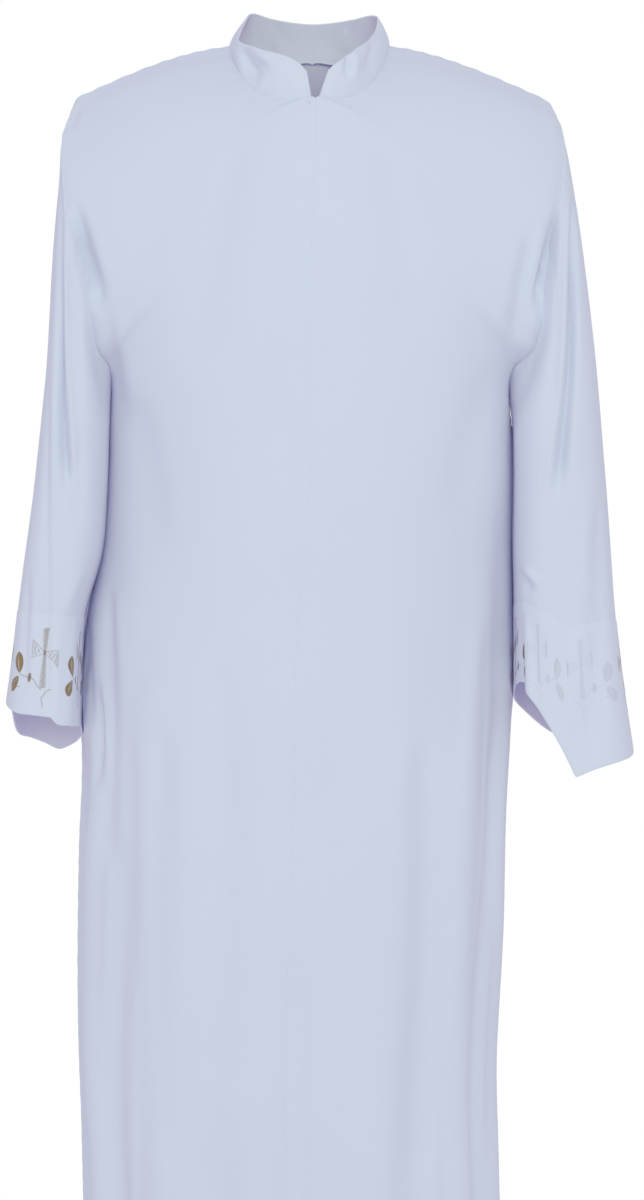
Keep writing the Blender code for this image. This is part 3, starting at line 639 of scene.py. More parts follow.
for name, side in (("front_right", -1), ("front_left", 1)):
    half = ("front", side)
    points, sheet_normals = inset_panel(half).reshape(-1, 3), panels[half]["normals"].reshape(-1, 3)
    faces, uv = panel_faces[half], panel_uv(half)
    piece = cloth_shell(f"{name}_cloth", points, faces, sheet_normals, uv, CLOTH, alb_cloth)
    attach(piece, "root")
    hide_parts(name)

# The back is cut in one: its halves share the centre line below the neckline
columns = PANEL_COLUMNS + 1
count = len(panel_rows) * columns
centre = np.flatnonzero(panel_rows >= NECK_ROWS["back"]) * columns
number = np.arange(2 * count)
number[centre + count] = centre
kept, number = np.unique(number, return_inverse=True)
back_halves = [("back", -1), ("back", 1)]
points = np.concatenate([inset_panel(half).reshape(-1, 3) for half in back_halves])[kept]
sheet_normals = np.concatenate([panels[half]["normals"].reshape(-1, 3) for half in back_halves])[kept]
faces = np.concatenate([panel_faces[back_halves[0]], panel_faces[back_halves[1]] + count])
uv = np.concatenate([panel_uv(half) for half in back_halves])[kept]
faces = number.reshape(-1)[faces]
piece = cloth_shell("back_cloth", points, faces, sheet_normals, uv, CLOTH, alb_cloth)
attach(piece, "root")
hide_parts("back")

# The sleeves, of the same cloth. Each is one panel, eased into the armhole, closed by a seam along its
# inner side, and hanging as a flat tube with the soft creases of the bent elbow.
CAP_ROWS = 7
SLEEVE_ROWS = 7
BAND_ROWS = 3
SLEEVE_STEPS = 8
BAND_STEPS = 14
SLEEVE_COLUMNS = ("z", "outer_x", "inner_x", "front_y", "back_y")
SLEEVES = {
    "right": (
        (-0.410, 0.2900, 0.2195, -0.093, 0.080),
        (-0.470, 0.2965, 0.2225, -0.092, 0.072),
        (-0.535, 0.3038, 0.2275, -0.093, 0.064),
        (-0.603, 0.3105, 0.2465, -0.095, 0.058),
        (-0.660, 0.3172, 0.2500, -0.098, 0.056),
        (-0.715, 0.3245, 0.2500, -0.101, 0.055),
    ),
    "left": (
        (-0.410, 0.3062, 0.2140, -0.092, 0.078),
        (-0.470, 0.3114, 0.2148, -0.089, 0.070),
        (-0.535, 0.3162, 0.2140, -0.085, 0.062),
        (-0.603, 0.3212, 0.2133, -0.082, 0.056),
        (-0.660, 0.3270, 0.2133, -0.081, 0.052),
        (-0.728, 0.3380, 0.2138, -0.082, 0.048),
    ),
}
BAND_SEAM_Z = -0.603
SQUARENESS = 3.2
DROP_COLUMNS = ("degrees", "drop")
HEM_DROPS = {
    "right": (
        (0, -0.0223),
        (30, -0.0208),
        (45, -0.0163),
        (60, -0.0122),
        (80, -0.0104),
        (105, -0.0083),
        (112, -0.0075),
        (118, -0.0021),
        (135, 0.0015),
        (160, 0.0035),
        (180, 0.0055),
        (205, 0.0130),
        (241, 0.0292),
        (256, 0.0335),
        (281, 0.0270),
        (300, 0.0215),
        (330, 0.0110),
        (348, -0.0100),
    ),
    "left": (
        (0, 0.0098),
        (20, 0.0180),
        (30, 0.0210),
        (48, 0.0257),
        (62, 0.0300),
        (77, 0.0357),
        (89, 0.0412),
        (92, 0.0421),
        (96, 0.0330),
        (105, 0.0130),
        (115, -0.0080),
        (126, -0.0290),
        (140, -0.0510),
        (155, -0.0560),
        (166, -0.0530),
        (180, -0.0520),
        (200, -0.0400),
        (225, -0.0250),
        (255, 0.0015),
        (300, 0.0090),
        (335, 0.0060),
    ),
}
DROP_TOP_Z = -0.52
DROP_POWER = 1.5
CAP_COLUMNS = ("degrees", "out", "forward", "down", "length")
CAP_LEAVING = {
    "right": (
        (0, 0.74, 0.0, 0.67, 0.110),
        (20, 0.12, 0.09, 0.97, 0.170),
        (45, 0.03, 0.20, 0.98, 0.200),
        (90, 0.05, 0.16, 0.98, 0.180),
        (135, 0.10, 0.05, 0.98, 0.110),
        (180, 0.0, 0.0, 1.0, 0.040),
        (225, 0.10, -0.05, 0.98, 0.110),
        (270, 0.05, -0.16, 0.98, 0.180),
        (315, 0.03, -0.20, 0.98, 0.200),
        (340, 0.12, -0.09, 0.97, 0.170),
    ),
    "left": (
        (0, 0.76, 0.0, 0.65, 0.115),
        (20, 0.28, 0.12, 0.93, 0.165),
        (45, 0.20, 0.24, 0.95, 0.200),
        (90, 0.12, 0.20, 0.97, 0.180),
        (135, 0.12, 0.05, 0.97, 0.110),
        (180, 0.0, 0.0, 1.0, 0.040),
        (225, 0.12, -0.05, 0.97, 0.110),
        (270, 0.12, -0.20, 0.97, 0.180),
        (315, 0.20, -0.24, 0.95, 0.200),
        (340, 0.28, -0.12, 0.93, 0.165),
    ),
}
SLEEVE_CREASES = {
    "right": (
        (
            "front", ((-0.2660, -0.100), (-0.2660, -0.295), (-0.2610, -0.400), (-0.2550, -0.485)),
            0.0040, 0.0120, 0.3,
        ),
        (
            "front", ((-0.2790, -0.335), (-0.2782, -0.480), (-0.2768, -0.600), (-0.2762, -0.730)),
            0.0042, 0.0024, 0.5,
        ),
        ("front", ((-0.2960, -0.540), (-0.2985, -0.600), (-0.3030, -0.700)), 0.0050, 0.0030, 0.4),
        ("front", ((-0.2300, -0.545), (-0.2370, -0.575), (-0.2520, -0.620)), 0.0070, 0.0050, -0.5),
        ("front", ((-0.2435, -0.580), (-0.2462, -0.640), (-0.2468, -0.745)), 0.0042, 0.0085, -0.5),
        ("front", ((-0.2500, -0.200), (-0.2540, -0.280), (-0.2500, -0.380)), 0.0070, 0.0030, -0.4),
        ("front", ((-0.2420, -0.400), (-0.2460, -0.470), (-0.2380, -0.540)), 0.0080, 0.0035, 0.4),
        ("back", ((-0.2620, -0.240), (-0.2500, -0.330), (-0.2620, -0.450)), 0.0100, 0.0090, 0.4),
        ("back", ((-0.2900, -0.300), (-0.2920, -0.480), (-0.2860, -0.700)), 0.0100, 0.0090, -0.4),
        ("back", ((-0.2480, -0.480), (-0.2640, -0.520), (-0.2840, -0.540)), 0.0080, 0.0060, 0.4),
        ("back", ((-0.2500, -0.560), (-0.2660, -0.590), (-0.2900, -0.600)), 0.0080, 0.0050, -0.4),
    ),
    "left": (
        (
            "front", ((0.2755, -0.140), (0.2715, -0.225), (0.2675, -0.340), (0.2530, -0.485)),
            0.0044, 0.0120, -0.3,
        ),
        ("front", ((0.2430, -0.145), (0.2350, -0.210), (0.2280, -0.290)), 0.0060, 0.0045, -0.4),
        ("front", ((0.2120, -0.550), (0.2190, -0.564), (0.2290, -0.580)), 0.0045, 0.0065, 0.5),
        ("front", ((0.2145, -0.590), (0.2170, -0.650), (0.2172, -0.730)), 0.0044, 0.0090, 0.5),
        ("front", ((0.3000, -0.460), (0.2980, -0.600), (0.2900, -0.760)), 0.0110, 0.0040, -0.3),
        ("front", ((0.2510, -0.330), (0.2540, -0.420), (0.2480, -0.520)), 0.0090, 0.0030, 0.4),
        ("back", ((0.2660, -0.230), (0.2520, -0.320), (0.2700, -0.440)), 0.0100, 0.0090, -0.4),
        ("back", ((0.3000, -0.320), (0.2960, -0.500), (0.2860, -0.690)), 0.0100, 0.0090, 0.4),
        ("back", ((0.2450, -0.470), (0.2660, -0.520), (0.2920, -0.545)), 0.0080, 0.0060, -0.4),
        ("back", ((0.2460, -0.560), (0.2680, -0.600), (0.2960, -0.615)), 0.0080, 0.0050, 0.4),
    ),
}
CREASE_FREE_RINGS = 3
SINK_WIDTH = 0.015
JOIN_WIDTH = 0.005


def sheet_uv(grid):
    """Metres round and down a grid, alike in each of its rows and columns."""
    around, down = walk(grid, 1).mean(axis=0), walk(grid, 0).mean(axis=1)
    return np.stack(np.broadcast_arrays(around[None, :], down[:, None]), axis=-1).reshape(-1, 2)


def round_table(table, degrees):
    """As smooth, for a table of angles that starts at 0 and closes on itself."""
    before = (table[-1][0] - 360, *table[-1][1:])
    after = [(row[0] + 360, *row[1:]) for row in table[:2]]
    return smooth((before, *table, *after), degrees)


def armhole_loop(side, places, column=-1):
    """The armhole's points, from the shoulder down the front to the armpit and up the back."""
    front = panels["front", side][places][:armpit_row + 1, column]
    back = panels["back", side][places][armpit_row - 1:0:-1, column]
    return np.concatenate([front, back])


def under_panels(side):
    """The sleeve's row past the armhole seam, under the cloth of the front and the back."""
    edge = armhole_loop(side, "grid")
    row = towards(edge, armhole_loop(side, "grid", -3), SEAM_TUCK)
    return (row - armhole_loop(side, "normals") * CLOTH)[None]


def sleeve_rings(side, name, degrees):
    """The level rings of a sleeve, from the upper arm to the hem."""
    angle = np.radians(degrees)
    top_z, hem_z = SLEEVES[name][0][0], SLEEVES[name][-1][0]
    levels = np.concatenate([
        np.linspace(top_z, BAND_SEAM_Z, SLEEVE_ROWS * SLEEVE_STEPS + 1),
        np.linspace(BAND_SEAM_Z, hem_z, BAND_ROWS * BAND_STEPS + 1)[1:],
    ])
    section = named(SLEEVE_COLUMNS[1:], smooth(SLEEVES[name][::-1], levels))
    drop = named(DROP_COLUMNS[1:], round_table(HEM_DROPS[name], degrees))["drop"]
    cosine, sine = np.cos(angle), np.sin(angle)
    squared = (np.abs(cosine) ** SQUARENESS + np.abs(sine) ** SQUARENESS) ** (-1 / SQUARENESS)
    rings = []
    for i, z in enumerate(levels):
        outer_x, inner_x = section["outer_x"][i], section["inner_x"][i]
        front_y, back_y = section["front_y"][i], section["back_y"][i]
        x = (outer_x + inner_x) / 2 + (outer_x - inner_x) / 2 * squared * cosine
        y = (front_y + back_y) / 2 + (front_y - back_y) / 2 * squared * sine
        share = np.clip((DROP_TOP_Z - z) / (DROP_TOP_Z - hem_z), 0, 1) ** DROP_POWER
        rings.append(np.stack([side * x, y, z - share * drop], axis=1))
    return np.array(rings)


def sleeve_grid(side, name):
    """The whole sleeve with its band, as rings from the armhole to the hem, and its normals."""
    armhole = armhole_loop(side, "uncreased")
    ring_columns = len(armhole)
    degrees = np.arange(ring_columns) * 360 / ring_columns
    rings = sleeve_rings(side, name, degrees)
    leaving = named(CAP_COLUMNS[1:], round_table(CAP_LEAVING[name], degrees))
    length = leaving["length"][:, None]
    tangent = np.stack([side * leaving["out"], -leaving["forward"], -leaving["down"]], axis=1) * length
    arriving = unit(rings[1] - rings[0]) * length
    t = np.linspace(0, 1, CAP_ROWS * SLEEVE_STEPS + 1)[:-1, None, None]
    cap = (
        (2 * t**3 - 3 * t**2 + 1) * armhole + (t**3 - 2 * t**2 + t) * tangent
        + (3 * t**2 - 2 * t**3) * rings[0] + (t**3 - t**2) * arriving
    )
    grid = np.concatenate([cap, rings])
    sunk = armhole_loop(side, "seam") - armhole
    grid = grid + sunk[None] * np.exp(-((walk(grid, 0) / SINK_WIDTH) ** 2))[:, :, None]
    ring_faces = quads(len(grid), ring_columns, closed=True, flipped=side > 0)
    normal = grid_normals(grid, ring_faces)
    down = walk(grid, 0)
    round_way = walk(np.concatenate([grid, grid[:, :1]], axis=1), 1)[:, :-1]
    keep = np.clip(np.arange(len(grid)) / (CREASE_FREE_RINGS * SLEEVE_STEPS), 0, 1)[:, None]
    inwards = crease_depth(grid, normal, SLEEVE_CREASES[name]) * keep
    inwards += UNEVEN_HEIGHT * unevenness(grid, 23 + side) * keep
    from_shoulder = np.minimum(round_way, round_way[:, -1:] - round_way)
    inwards += pucker(down, from_shoulder, 3 * side)
    seam_row = (CAP_ROWS + SLEEVE_ROWS) * SLEEVE_STEPS
    inwards += pucker(np.abs(down - down[seam_row]), round_way, 4 * side)
    for k, groove in enumerate(SEAM_GROOVE):
        inwards[k] += groove
        inwards[[seam_row - k, seam_row + k]] += groove / 2
        under = ring_columns // 2
        inwards[:, [under - k, under + k]] += groove / 2
    grid = grid - normal * inwards[:, :, None]
    apart = armhole_loop(side, "grid") - grid[0]
    grid = grid + apart[None] * np.exp(-((walk(grid, 0) / JOIN_WIDTH) ** 2))[:, :, None]
    return grid, grid_normals(grid, ring_faces), seam_row


sleeves = {}
for side, name in ((-1, "right"), (1, "left")):
    grid, normal, seam_row = sleeve_grid(side, name)
    sleeves[name] = {"grid": grid, "normals": normal, "seam_row": seam_row, "side": side}
    sleeve = np.concatenate([under_panels(side), grid[:seam_row + 1]])
    sleeve[-1] = towards(sleeve[-1], sleeve[-2], SEAM_EDGE)
    points, uv = sleeve.reshape(-1, 3), sheet_uv(sleeve)
    faces = quads(*sleeve.shape[:2], closed=True, flipped=side > 0)
    sheet_normals = np.concatenate([normal[:1], normal[:seam_row + 1]]).reshape(-1, 3)
    piece = cloth_shell(f"sleeve_{name}_cloth", points, faces, sheet_normals, uv, CLOTH, alb_cloth)
    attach(piece, "root")
    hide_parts(f"sleeve_{name}")

# The cuff bands. Each is a straight strip of the same cloth, doubled, so it is a little thicker and
# stands proud of the sleeve that it is sewn to. Its lower edge is the fold.
BAND_LIFT = 0.0006
BAND_WALL = 0.0015
band_cloth = cloth_material(
    "band_cloth", (0.715, 0.775, 0.880, 1.0), (0.750, 0.803, 0.903, 1.0), THREAD_PITCH, 0.30
)
bands = {}
for name, sleeve in sleeves.items():
    grid = sleeve["grid"][sleeve["seam_row"]:].copy()
    normal = sleeve["normals"][sleeve["seam_row"]:]
    grid[0] = towards(grid[0], grid[1], SEAM_EDGE)
    grid = grid + normal * BAND_LIFT
    points, sheet_normals, uv = grid.reshape(-1, 3), normal.reshape(-1, 3), sheet_uv(grid)
    faces = quads(*grid.shape[:2], closed=True, flipped=sleeve["side"] > 0)
    piece = cloth_shell(f"cuff_band_{name}_cloth", points, faces, sheet_normals, uv, BAND_WALL, band_cloth)
    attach(piece, "root")
    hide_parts(f"cuff_band_{name}")
    closed = [np.concatenate([values, values[:, :1]], axis=1) for values in (grid, normal)]
    bands[name] = {"grid": closed[0], "normals": closed[1]}

# The stand collar, of doubled and stiffened cloth, sewn into the neckline. Its rounded ends leave a deep
# notch at the centre front. Place counts along the neckline: 0 at the notch on the wearer's right, 2 at
# the back, 4 at the notch on the left.
RIM_COLUMNS = ("place", "x", "y", "z")
COLLAR_RIM = (
    (0.00, -0.0076, -0.078, -0.0331),
    (0.10, -0.0150, -0.078, -0.0255),
    (0.25, -0.0285, -0.075, -0.0175),
    (0.50, -0.0560, -0.060, -0.0070),
    (0.72, -0.0805, -0.035, 0.0075),
    (0.86, -0.0795, -0.016, 0.0210),
    (1.00, -0.0740, 0.004, 0.0385),
    (1.20, -0.0690, 0.026, 0.0500),
    (1.50, -0.0470, 0.048, 0.0490),
    (2.00, -0.0020, 0.063, 0.0462),
    (2.50, 0.0420, 0.048, 0.0480),
    (2.80, 0.0640, 0.026, 0.0480),
    (3.00, 0.0695, 0.006, 0.0400),
    (3.14, 0.0670, -0.012, 0.0245),
    (3.28, 0.0600, -0.032, 0.0100),
    (3.50, 0.0455, -0.060, -0.0057),
    (3.75, 0.0320, -0.075, -0.0195),
    (3.90, 0.0210, -0.078, -0.0270),
    (4.00, 0.0154, -0.078, -0.0320),
)
COLLAR_BULGE = 0.0025
NOTCH_HALF = 0.0056
NOTCH_FADES = 0.12
COLLAR_STEPS = 24
COLLAR_WALL = 0.0018
COLLAR_PUCKER = 0.6
COLLAR_PUCKER_STARTS = 0.004
COLLAR_CREASES_START = 0.006
COLLAR_CREASES = (
    ("front", ((-0.0800, 0.004), (-0.0700, -0.022), (-0.0520, -0.040)), 0.0085, 0.0110, 0.25),
    ("front", ((-0.0660, -0.010), (-0.0570, -0.022), (-0.0440, -0.034)), 0.0040, 0.0028, 0.4),
    ("front", ((0.0390, -0.004), (0.0365, -0.022), (0.0340, -0.044)), 0.0040, 0.0050, 0.5),
    ("front", ((0.0640, 0.012), (0.0605, -0.010), (0.0550, -0.036)), 0.0046, 0.0036, -0.4),
    ("back", ((-0.0500, 0.046), (-0.0470, 0.030), (-0.0420, 0.014)), 0.0060, 0.0018, 0.4),
    ("back", ((0.0360, 0.044), (0.0340, 0.028), (0.0360, 0.012)), 0.0060, 0.0018, -0.4),
)


def neck_loop():
    """The neckline's points from the right of the notch round the back to the left, and their places."""
    front, back = (int(np.flatnonzero(panel_rows == rows)[0]) for rows in NECK_ROWS.values())
    right = panels["front", -1]["grid"][front::-1, 0]
    right_back = panels["back", -1]["grid"][1:back + 1, 0]
    left_back = panels["back", 1]["grid"][back - 1:0:-1, 0]
    left = panels["front", 1]["grid"][:front + 1, 0]
    places = np.concatenate([
        np.arange(front + 1) / front,
        1 + np.arange(1, back + 1) / back,
        3 - np.arange(back - 1, 0, -1) / back,
        3 + np.arange(front + 1) / front,
    ])
    return np.concatenate([right, right_back, left_back, left]), places


base, places = neck_loop()
ends = np.exp(-places / NOTCH_FADES) - np.exp(-(4 - places) / NOTCH_FADES)
loop_length = float(walk(base, 0)[-1])
started = places + ends * NOTCH_HALF * 4 / loop_length
base = np.stack([np.interp(started, places, base[:, axis]) for axis in range(3)], axis=1)
rim_line = named(RIM_COLUMNS[1:], smooth(COLLAR_RIM, places))
rim_line = np.stack([rim_line[axis] for axis in "xyz"], axis=1)
outwards = (base + rim_line) * (0.5, 0.5, 0.0)
t = np.linspace(0, 1, COLLAR_STEPS + 1)[:, None, None]
collar = base + (rim_line - base) * t + unit(outwards) * COLLAR_BULGE * np.sin(math.pi * t)
collar_faces = quads(*collar.shape[:2])
collar_normals = grid_normals(collar, collar_faces)
round_way, up = walk(collar, 1), walk(collar, 0)
inwards = crease_depth(collar, collar_normals, COLLAR_CREASES) * np.clip(up / COLLAR_CREASES_START, 0, 1)
inwards += COLLAR_PUCKER * pucker(up, round_way, 6) * np.clip(up / COLLAR_PUCKER_STARTS, 0, 1)
collar = collar - collar_normals * inwards[:, :, None]
collar_normals = grid_normals(collar, collar_faces)
sewn_in = np.concatenate([tucked(collar, collar_normals), collar])
sewn_in_normals = np.concatenate([collar_normals[:1], collar_normals])
uv = np.stack([walk(sewn_in, 1), -walk(sewn_in, 0)], axis=-1).reshape(-1, 2)
collar_cloth = cloth_material(
    "collar_cloth", (0.710, 0.770, 0.878, 1.0), (0.745, 0.800, 0.900, 1.0), THREAD_PITCH, 0.30
)
piece = cloth_shell(
    "collar_cloth", sewn_in.reshape(-1, 3), quads(*sewn_in.shape[:2]), sewn_in_normals.reshape(-1, 3), uv,
    COLLAR_WALL, collar_cloth,
)
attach(piece, "root")
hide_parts("collar")

# The sewing thread, white polyester: topstitching along the armholes, the shoulders, the hem, both edges
# of each cuff band and all round the collar, and a small hook of dark grey-blue thread at the foot of the
# notch, whose dark colour is also painted shade there. A stitch is a low arch that sinks into the cloth at
# both ends, copied along every line.
STITCH_PITCH = 0.0030
STITCH_LENGTH = 0.0024
STITCH_WIDTH = 0.00042
STITCH_SINK = 0.00008
STITCH_ACROSS = (-0.5, -0.28, 0.28, 0.5)
STITCH_HEIGHT = (0.0, 0.42, 0.42, 0.0)
STITCH_TAPER = (0.6, 1.0, 1.0, 0.6)
STITCH_ARCH = (0.35, 1.0, 1.0, 0.35)
ARMHOLE_EDGE = 0.0035
SHOULDER_EDGE = 0.0035
BAND_EDGE = 0.0025
HEM_EDGE = 0.002
RIM_EDGE = 0.0035
BASE_EDGE = 0.0025
HOOK_PLACE = (-0.0066, -0.0650)
HOOK_STITCHES = (
    (-0.0018, 0.0012, 0.0016, -0.0004),
    (0.0016, -0.0004, 0.0022, -0.0028),
    (-0.0016, -0.0014, 0.0006, -0.0030),
)
HOOK_WIDTH = 0.0005


def on_grid(grid, rows, columns):
    """The values of a grid between its rows and columns."""
    rows, columns = np.broadcast_arrays(np.asarray(rows, float), np.asarray(columns, float))
    i = np.clip(rows.astype(int), 0, grid.shape[0] - 2)
    j = np.clip(columns.astype(int), 0, grid.shape[1] - 2)
    a, b = (rows - i)[..., None], (columns - j)[..., None]
    upper = grid[i, j] * (1 - b) + grid[i, j + 1] * b
    lower = grid[i + 1, j] * (1 - b) + grid[i + 1, j + 1] * b
    return upper * (1 - a) + lower * a


def beside(grid, normals, distance):
    """The line over a grid at this distance from its first row, and its normals."""
    walked = walk(grid, 0)
    columns = np.arange(grid.shape[1])
    rows = [np.interp(distance, walked[:, j], np.arange(len(grid))) for j in columns]
    return on_grid(grid, rows, columns), unit(on_grid(normals, rows, columns))


def stitches_along(line, normals):
    """The spines of the stitches along a line, four points each, and their normals."""
    walked = walk(line, 0)
    starts = np.arange(0.0, walked[-1] - STITCH_LENGTH, STITCH_PITCH)
    places = starts[:, None] + np.linspace(0, STITCH_LENGTH, len(STITCH_TAPER))[None, :]
    index = np.interp(places, walked, np.arange(len(line)))
    one_wide = [np.repeat(values[:, None], 2, axis=1) for values in (line, normals)]
    return [on_grid(values, index, 0.0) for values in one_wide]


def thread_piece(name, spines, normals, widths, materials, slots):
    """Many stitches in one mesh. Each has four points along its spine and a low arch for its section."""
    count, stations = spines.shape[:2]
    tangents = unit(np.gradient(spines, axis=1))
    sideways = unit(np.cross(normals, tangents))
    size = np.asarray(widths)[:, None, None, None]
    taper = np.array(STITCH_TAPER)[None, :, None, None] * size
    arch = np.array(STITCH_ARCH)[None, :, None, None] * size
    across, height = (np.array(values)[None, None, :, None] for values in (STITCH_ACROSS, STITCH_HEIGHT))
    upwards = normals[:, :, None]
    points = spines[:, :, None] + sideways[:, :, None] * across * taper
    points = points + upwards * (height * arch - STITCH_SINK)
    section = len(STITCH_ACROSS)
    one = quads(stations, section, closed=True)
    last = section * (stations - 1)
    one = np.concatenate([one, [np.arange(section)], [last + np.arange(section)[::-1]]])
    faces = (one[None] + np.arange(count)[:, None, None] * stations * section).reshape(-1, 4)
    lengths = np.linalg.norm(np.diff(spines, axis=1), axis=2)
    along = np.concatenate([np.zeros((count, 1)), np.cumsum(lengths, axis=1)], axis=1)
    round_it = np.arange(section) / section
    uv = np.stack(np.broadcast_arrays(round_it[None, None, :], along[:, :, None]), axis=-1).reshape(-1, 2)
    piece = mesh_object(name, points.reshape(-1, 3), faces, materials, uv, sharp_degrees=80)
    material_numbers = np.repeat(np.asarray(slots, np.int32), len(one))
    piece.data.polygons.foreach_set("material_index", material_numbers)
    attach(piece, "root")


def thread_material(name, dark, light, roughness, twist):
    """Twisted thread: fine slanting ridges with painted shade between them. Twist is the length of one turn.
    """
    material = bpy.data.materials.new(name)
    material.use_nodes = True
    nodes, links = material.node_tree.nodes, material.node_tree.links
    shader = nodes["Principled BSDF"]
    shader.inputs["Roughness"].default_value = roughness
    shader.inputs["Specular IOR Level"].default_value = 0.5
    shader.inputs["Sheen Weight"].default_value = 0.1
    place = nodes.new("ShaderNodeUVMap")
    place.uv_map = "cloth"
    parts = nodes.new("ShaderNodeSeparateXYZ")
    links.new(place.outputs["UV"], parts.inputs[0])
    math_node = math_nodes(material.node_tree)
    lean = math_node("MULTIPLY", parts.outputs["X"], 2 * math.pi)
    turn = math_node("MULTIPLY_ADD", parts.outputs["Y"], 2 * math.pi / twist, lean)
    ridge = math_node("MULTIPLY_ADD", math_node("SINE", turn), 0.5, 0.5)
    # Painted shade: the colour goes from light on each ridge of the twist to dark in the groove between
    colour = nodes.new("ShaderNodeMix")
    colour.data_type = "RGBA"
    colour.inputs["A"].default_value = dark
    colour.inputs["B"].default_value = light
    links.new(ridge, colour.inputs["Factor"])
    links.new(colour.outputs["Result"], shader.inputs["Base Color"])
    bump = nodes.new("ShaderNodeBump")
    bump.inputs["Strength"].default_value = 0.4
    bump.inputs["Distance"].default_value = 0.0001
    links.new(ridge, bump.inputs["Height"])
    links.new(bump.outputs["Normal"], shader.inputs["Normal"])
    return material


SEWING_TWIST = 0.0008
# Each thread's dark colour is painted shade in the grooves of its twist, its light colour is on the ridges
white_thread = thread_material(
    "white_thread", (0.66, 0.71, 0.82, 1.0), (0.74, 0.80, 0.90, 1.0), 0.55, SEWING_TWIST
)
# Dark grey-blue thread for the hook at the foot of the notch; its dark colour is also painted shade there
hook_thread_and_shade = thread_material(
    "hook_thread_and_shade", (0.16, 0.19, 0.36, 1.0), (0.26, 0.30, 0.48, 1.0), 0.6, SEWING_TWIST
)


def sewn(name, lines):
    """One piece of topstitching along several lines."""
    runs = [stitches_along(*line) for line in lines]
    spines, normals = (np.concatenate([run[k] for run in runs]) for k in range(2))
    widths = np.full(len(spines), STITCH_WIDTH)
    thread_piece(name, spines, normals, widths, [white_thread], np.zeros(len(spines)))


def turned(values):
    return values.transpose(1, 0, 2)


body_lines = []
for (face, side), panel in panels.items():
    grid, normal = panel["grid"], panel["normals"]
    upper = slice(0, armpit_row + 1)
    body_lines.append(beside(turned(grid[upper, ::-1]), turned(normal[upper, ::-1]), ARMHOLE_EDGE))
    body_lines.append(beside(grid[::-1], normal[::-1], HEM_DEPTH - HEM_EDGE))
    if face == "back":
        body_lines.append(beside(grid, normal, SHOULDER_EDGE))
sewn("body_stitching", body_lines)

for name, band in bands.items():
    ring, ring_normals = band["grid"], band["normals"]
    sewn(f"cuff_stitching_{name}", [
        beside(ring, ring_normals, BAND_EDGE),
        beside(ring[::-1], ring_normals[::-1], BAND_EDGE),
    ])

sewn("collar_stitching", [
    beside(collar, collar_normals, BASE_EDGE),
    beside(collar[::-1], collar_normals[::-1], RIM_EDGE),
    beside(turned(collar), turned(collar_normals), RIM_EDGE),
    beside(turned(collar[:, ::-1]), turned(collar_normals[:, ::-1]), RIM_EDGE),
])

front_right = panels["front", -1]
flat_places = front_right["grid"][:, :, [0, 2]]
hook = []
for row in HOOK_STITCHES:
    ends = np.array(row).reshape(2, 2) + HOOK_PLACE
    for k in np.linspace(0, 1, len(STITCH_TAPER)):
        wanted = ends[0] * (1 - k) + ends[1] * k
        near = np.argmin(np.linalg.norm(flat_places - wanted, axis=2))
        depth = front_right["grid"].reshape(-1, 3)[near, 1]
        hook.append([(wanted[0], depth, wanted[1]), front_right["normals"].reshape(-1, 3)[near]])
hook = np.array(hook).reshape(len(HOOK_STITCHES), len(STITCH_TAPER), 2, 3)
hook_widths = np.full(len(hook), HOOK_WIDTH)
thread_piece("notch_hook", hook[:, :, 0], hook[:, :, 1], hook_widths, [hook_thread_and_shade], np.zeros(len(hook)))

# The embroidery of the cuffs, machine satin stitch in gold and pale gold rayon. Crosses with flaring arms
# stand all round each band, over sprigs of leaves and a bud. Places in a motif are metres from the middle
# of its cross, to the inner side of the sleeve and up. Each thread is one stitch that follows the cloth.
MOTIF_WIDTH = 0.069
CROSS_DEPTH = 0.0405
CROSS_DEGREES = {"right": 95.5, "left": 80.0}
ARM_COLUMNS = ("length", "near_half_width", "far_half_width")
UPRIGHT_ARMS = (
    (0.0265, 0.0016, 0.0041),
    (-0.0375, 0.0016, 0.0036),
)
UPRIGHT_FLARE = 0.8
SIDE_ARMS = (
    (-0.0135, 0.0012, 0.0092),
    (0.0165, 0.0012, 0.0086),
)
SIDE_ARM_FLARE = 1.15
SIDE_ARM_EDGE_STITCHES = 5
SIDE_ARM_SLOPE = -0.28
SATIN_PITCH = 0.0013
SATIN_LEAN = 0.0009
SATIN_RAGGED = 0.06
SATIN_RAGGED_TURN = 5.3
STITCH_OVERLAP = 1.15
LATTICE_LEAD = 1.6
LATTICE_PITCH = 0.0034
CENTRE_STITCHES = 6
CENTRE_FOOT = -0.0016
CENTRE_PITCH = 0.00064
CENTRE_HALF = 0.0019
CENTRE_LEAN = 0.0004
LEAF_COLUMNS = ("base_u", "base_v", "tip_u", "tip_v", "half_width", "curve")
LEAVES = (
    (-0.0278, -0.0225, -0.0322, -0.0005, 0.0062, 0.0012),
    (-0.0284, -0.0255, -0.0372, -0.0425, 0.0058, -0.0014),
)
LEAF_PITCH = 0.00046
STEM_POINTS = 60
STEM_LEFT_OVER = 0.4
LEAF_WIDEST = 0.85
LEAF_ROUNDNESS = 0.8
LEAF_OVERLAP = 0.00005
LEAF_EXTRA = 0.0003
LEAF_RAKE = 0.55
BUD = (-0.0142, -0.0262)
BUD_HALF = (0.0026, 0.0050)
BUD_STITCHES = 6
BUD_LEAN = 0.0004
STEMS = (
    ((-0.0282, -0.0235), (-0.0205, -0.0252), (-0.0100, -0.0278), (-0.0060, -0.0340), (-0.0010, -0.0385)),
    ((0.0010, -0.0465), (0.0025, -0.0420), (0.0060, -0.0388), (0.0100, -0.0378)),
    ((-0.0008, -0.0450), (0.0004, -0.0510), (0.0014, -0.0570)),
    ((-0.0350, -0.0372), (-0.0300, -0.0368), (-0.0250, -0.0364)),
)
STEM_PITCH = 0.0019
STEM_STITCH = 0.0028
GOLD, PALE, STEM, PAINTED_HIGHLIGHT = range(4)
THREAD_WIDTH = {GOLD: 0.00066, PALE: 0.00085, STEM: 0.00075}
FINE = 0.00056
PAINTED_HIGHLIGHT_FACING = 0.45
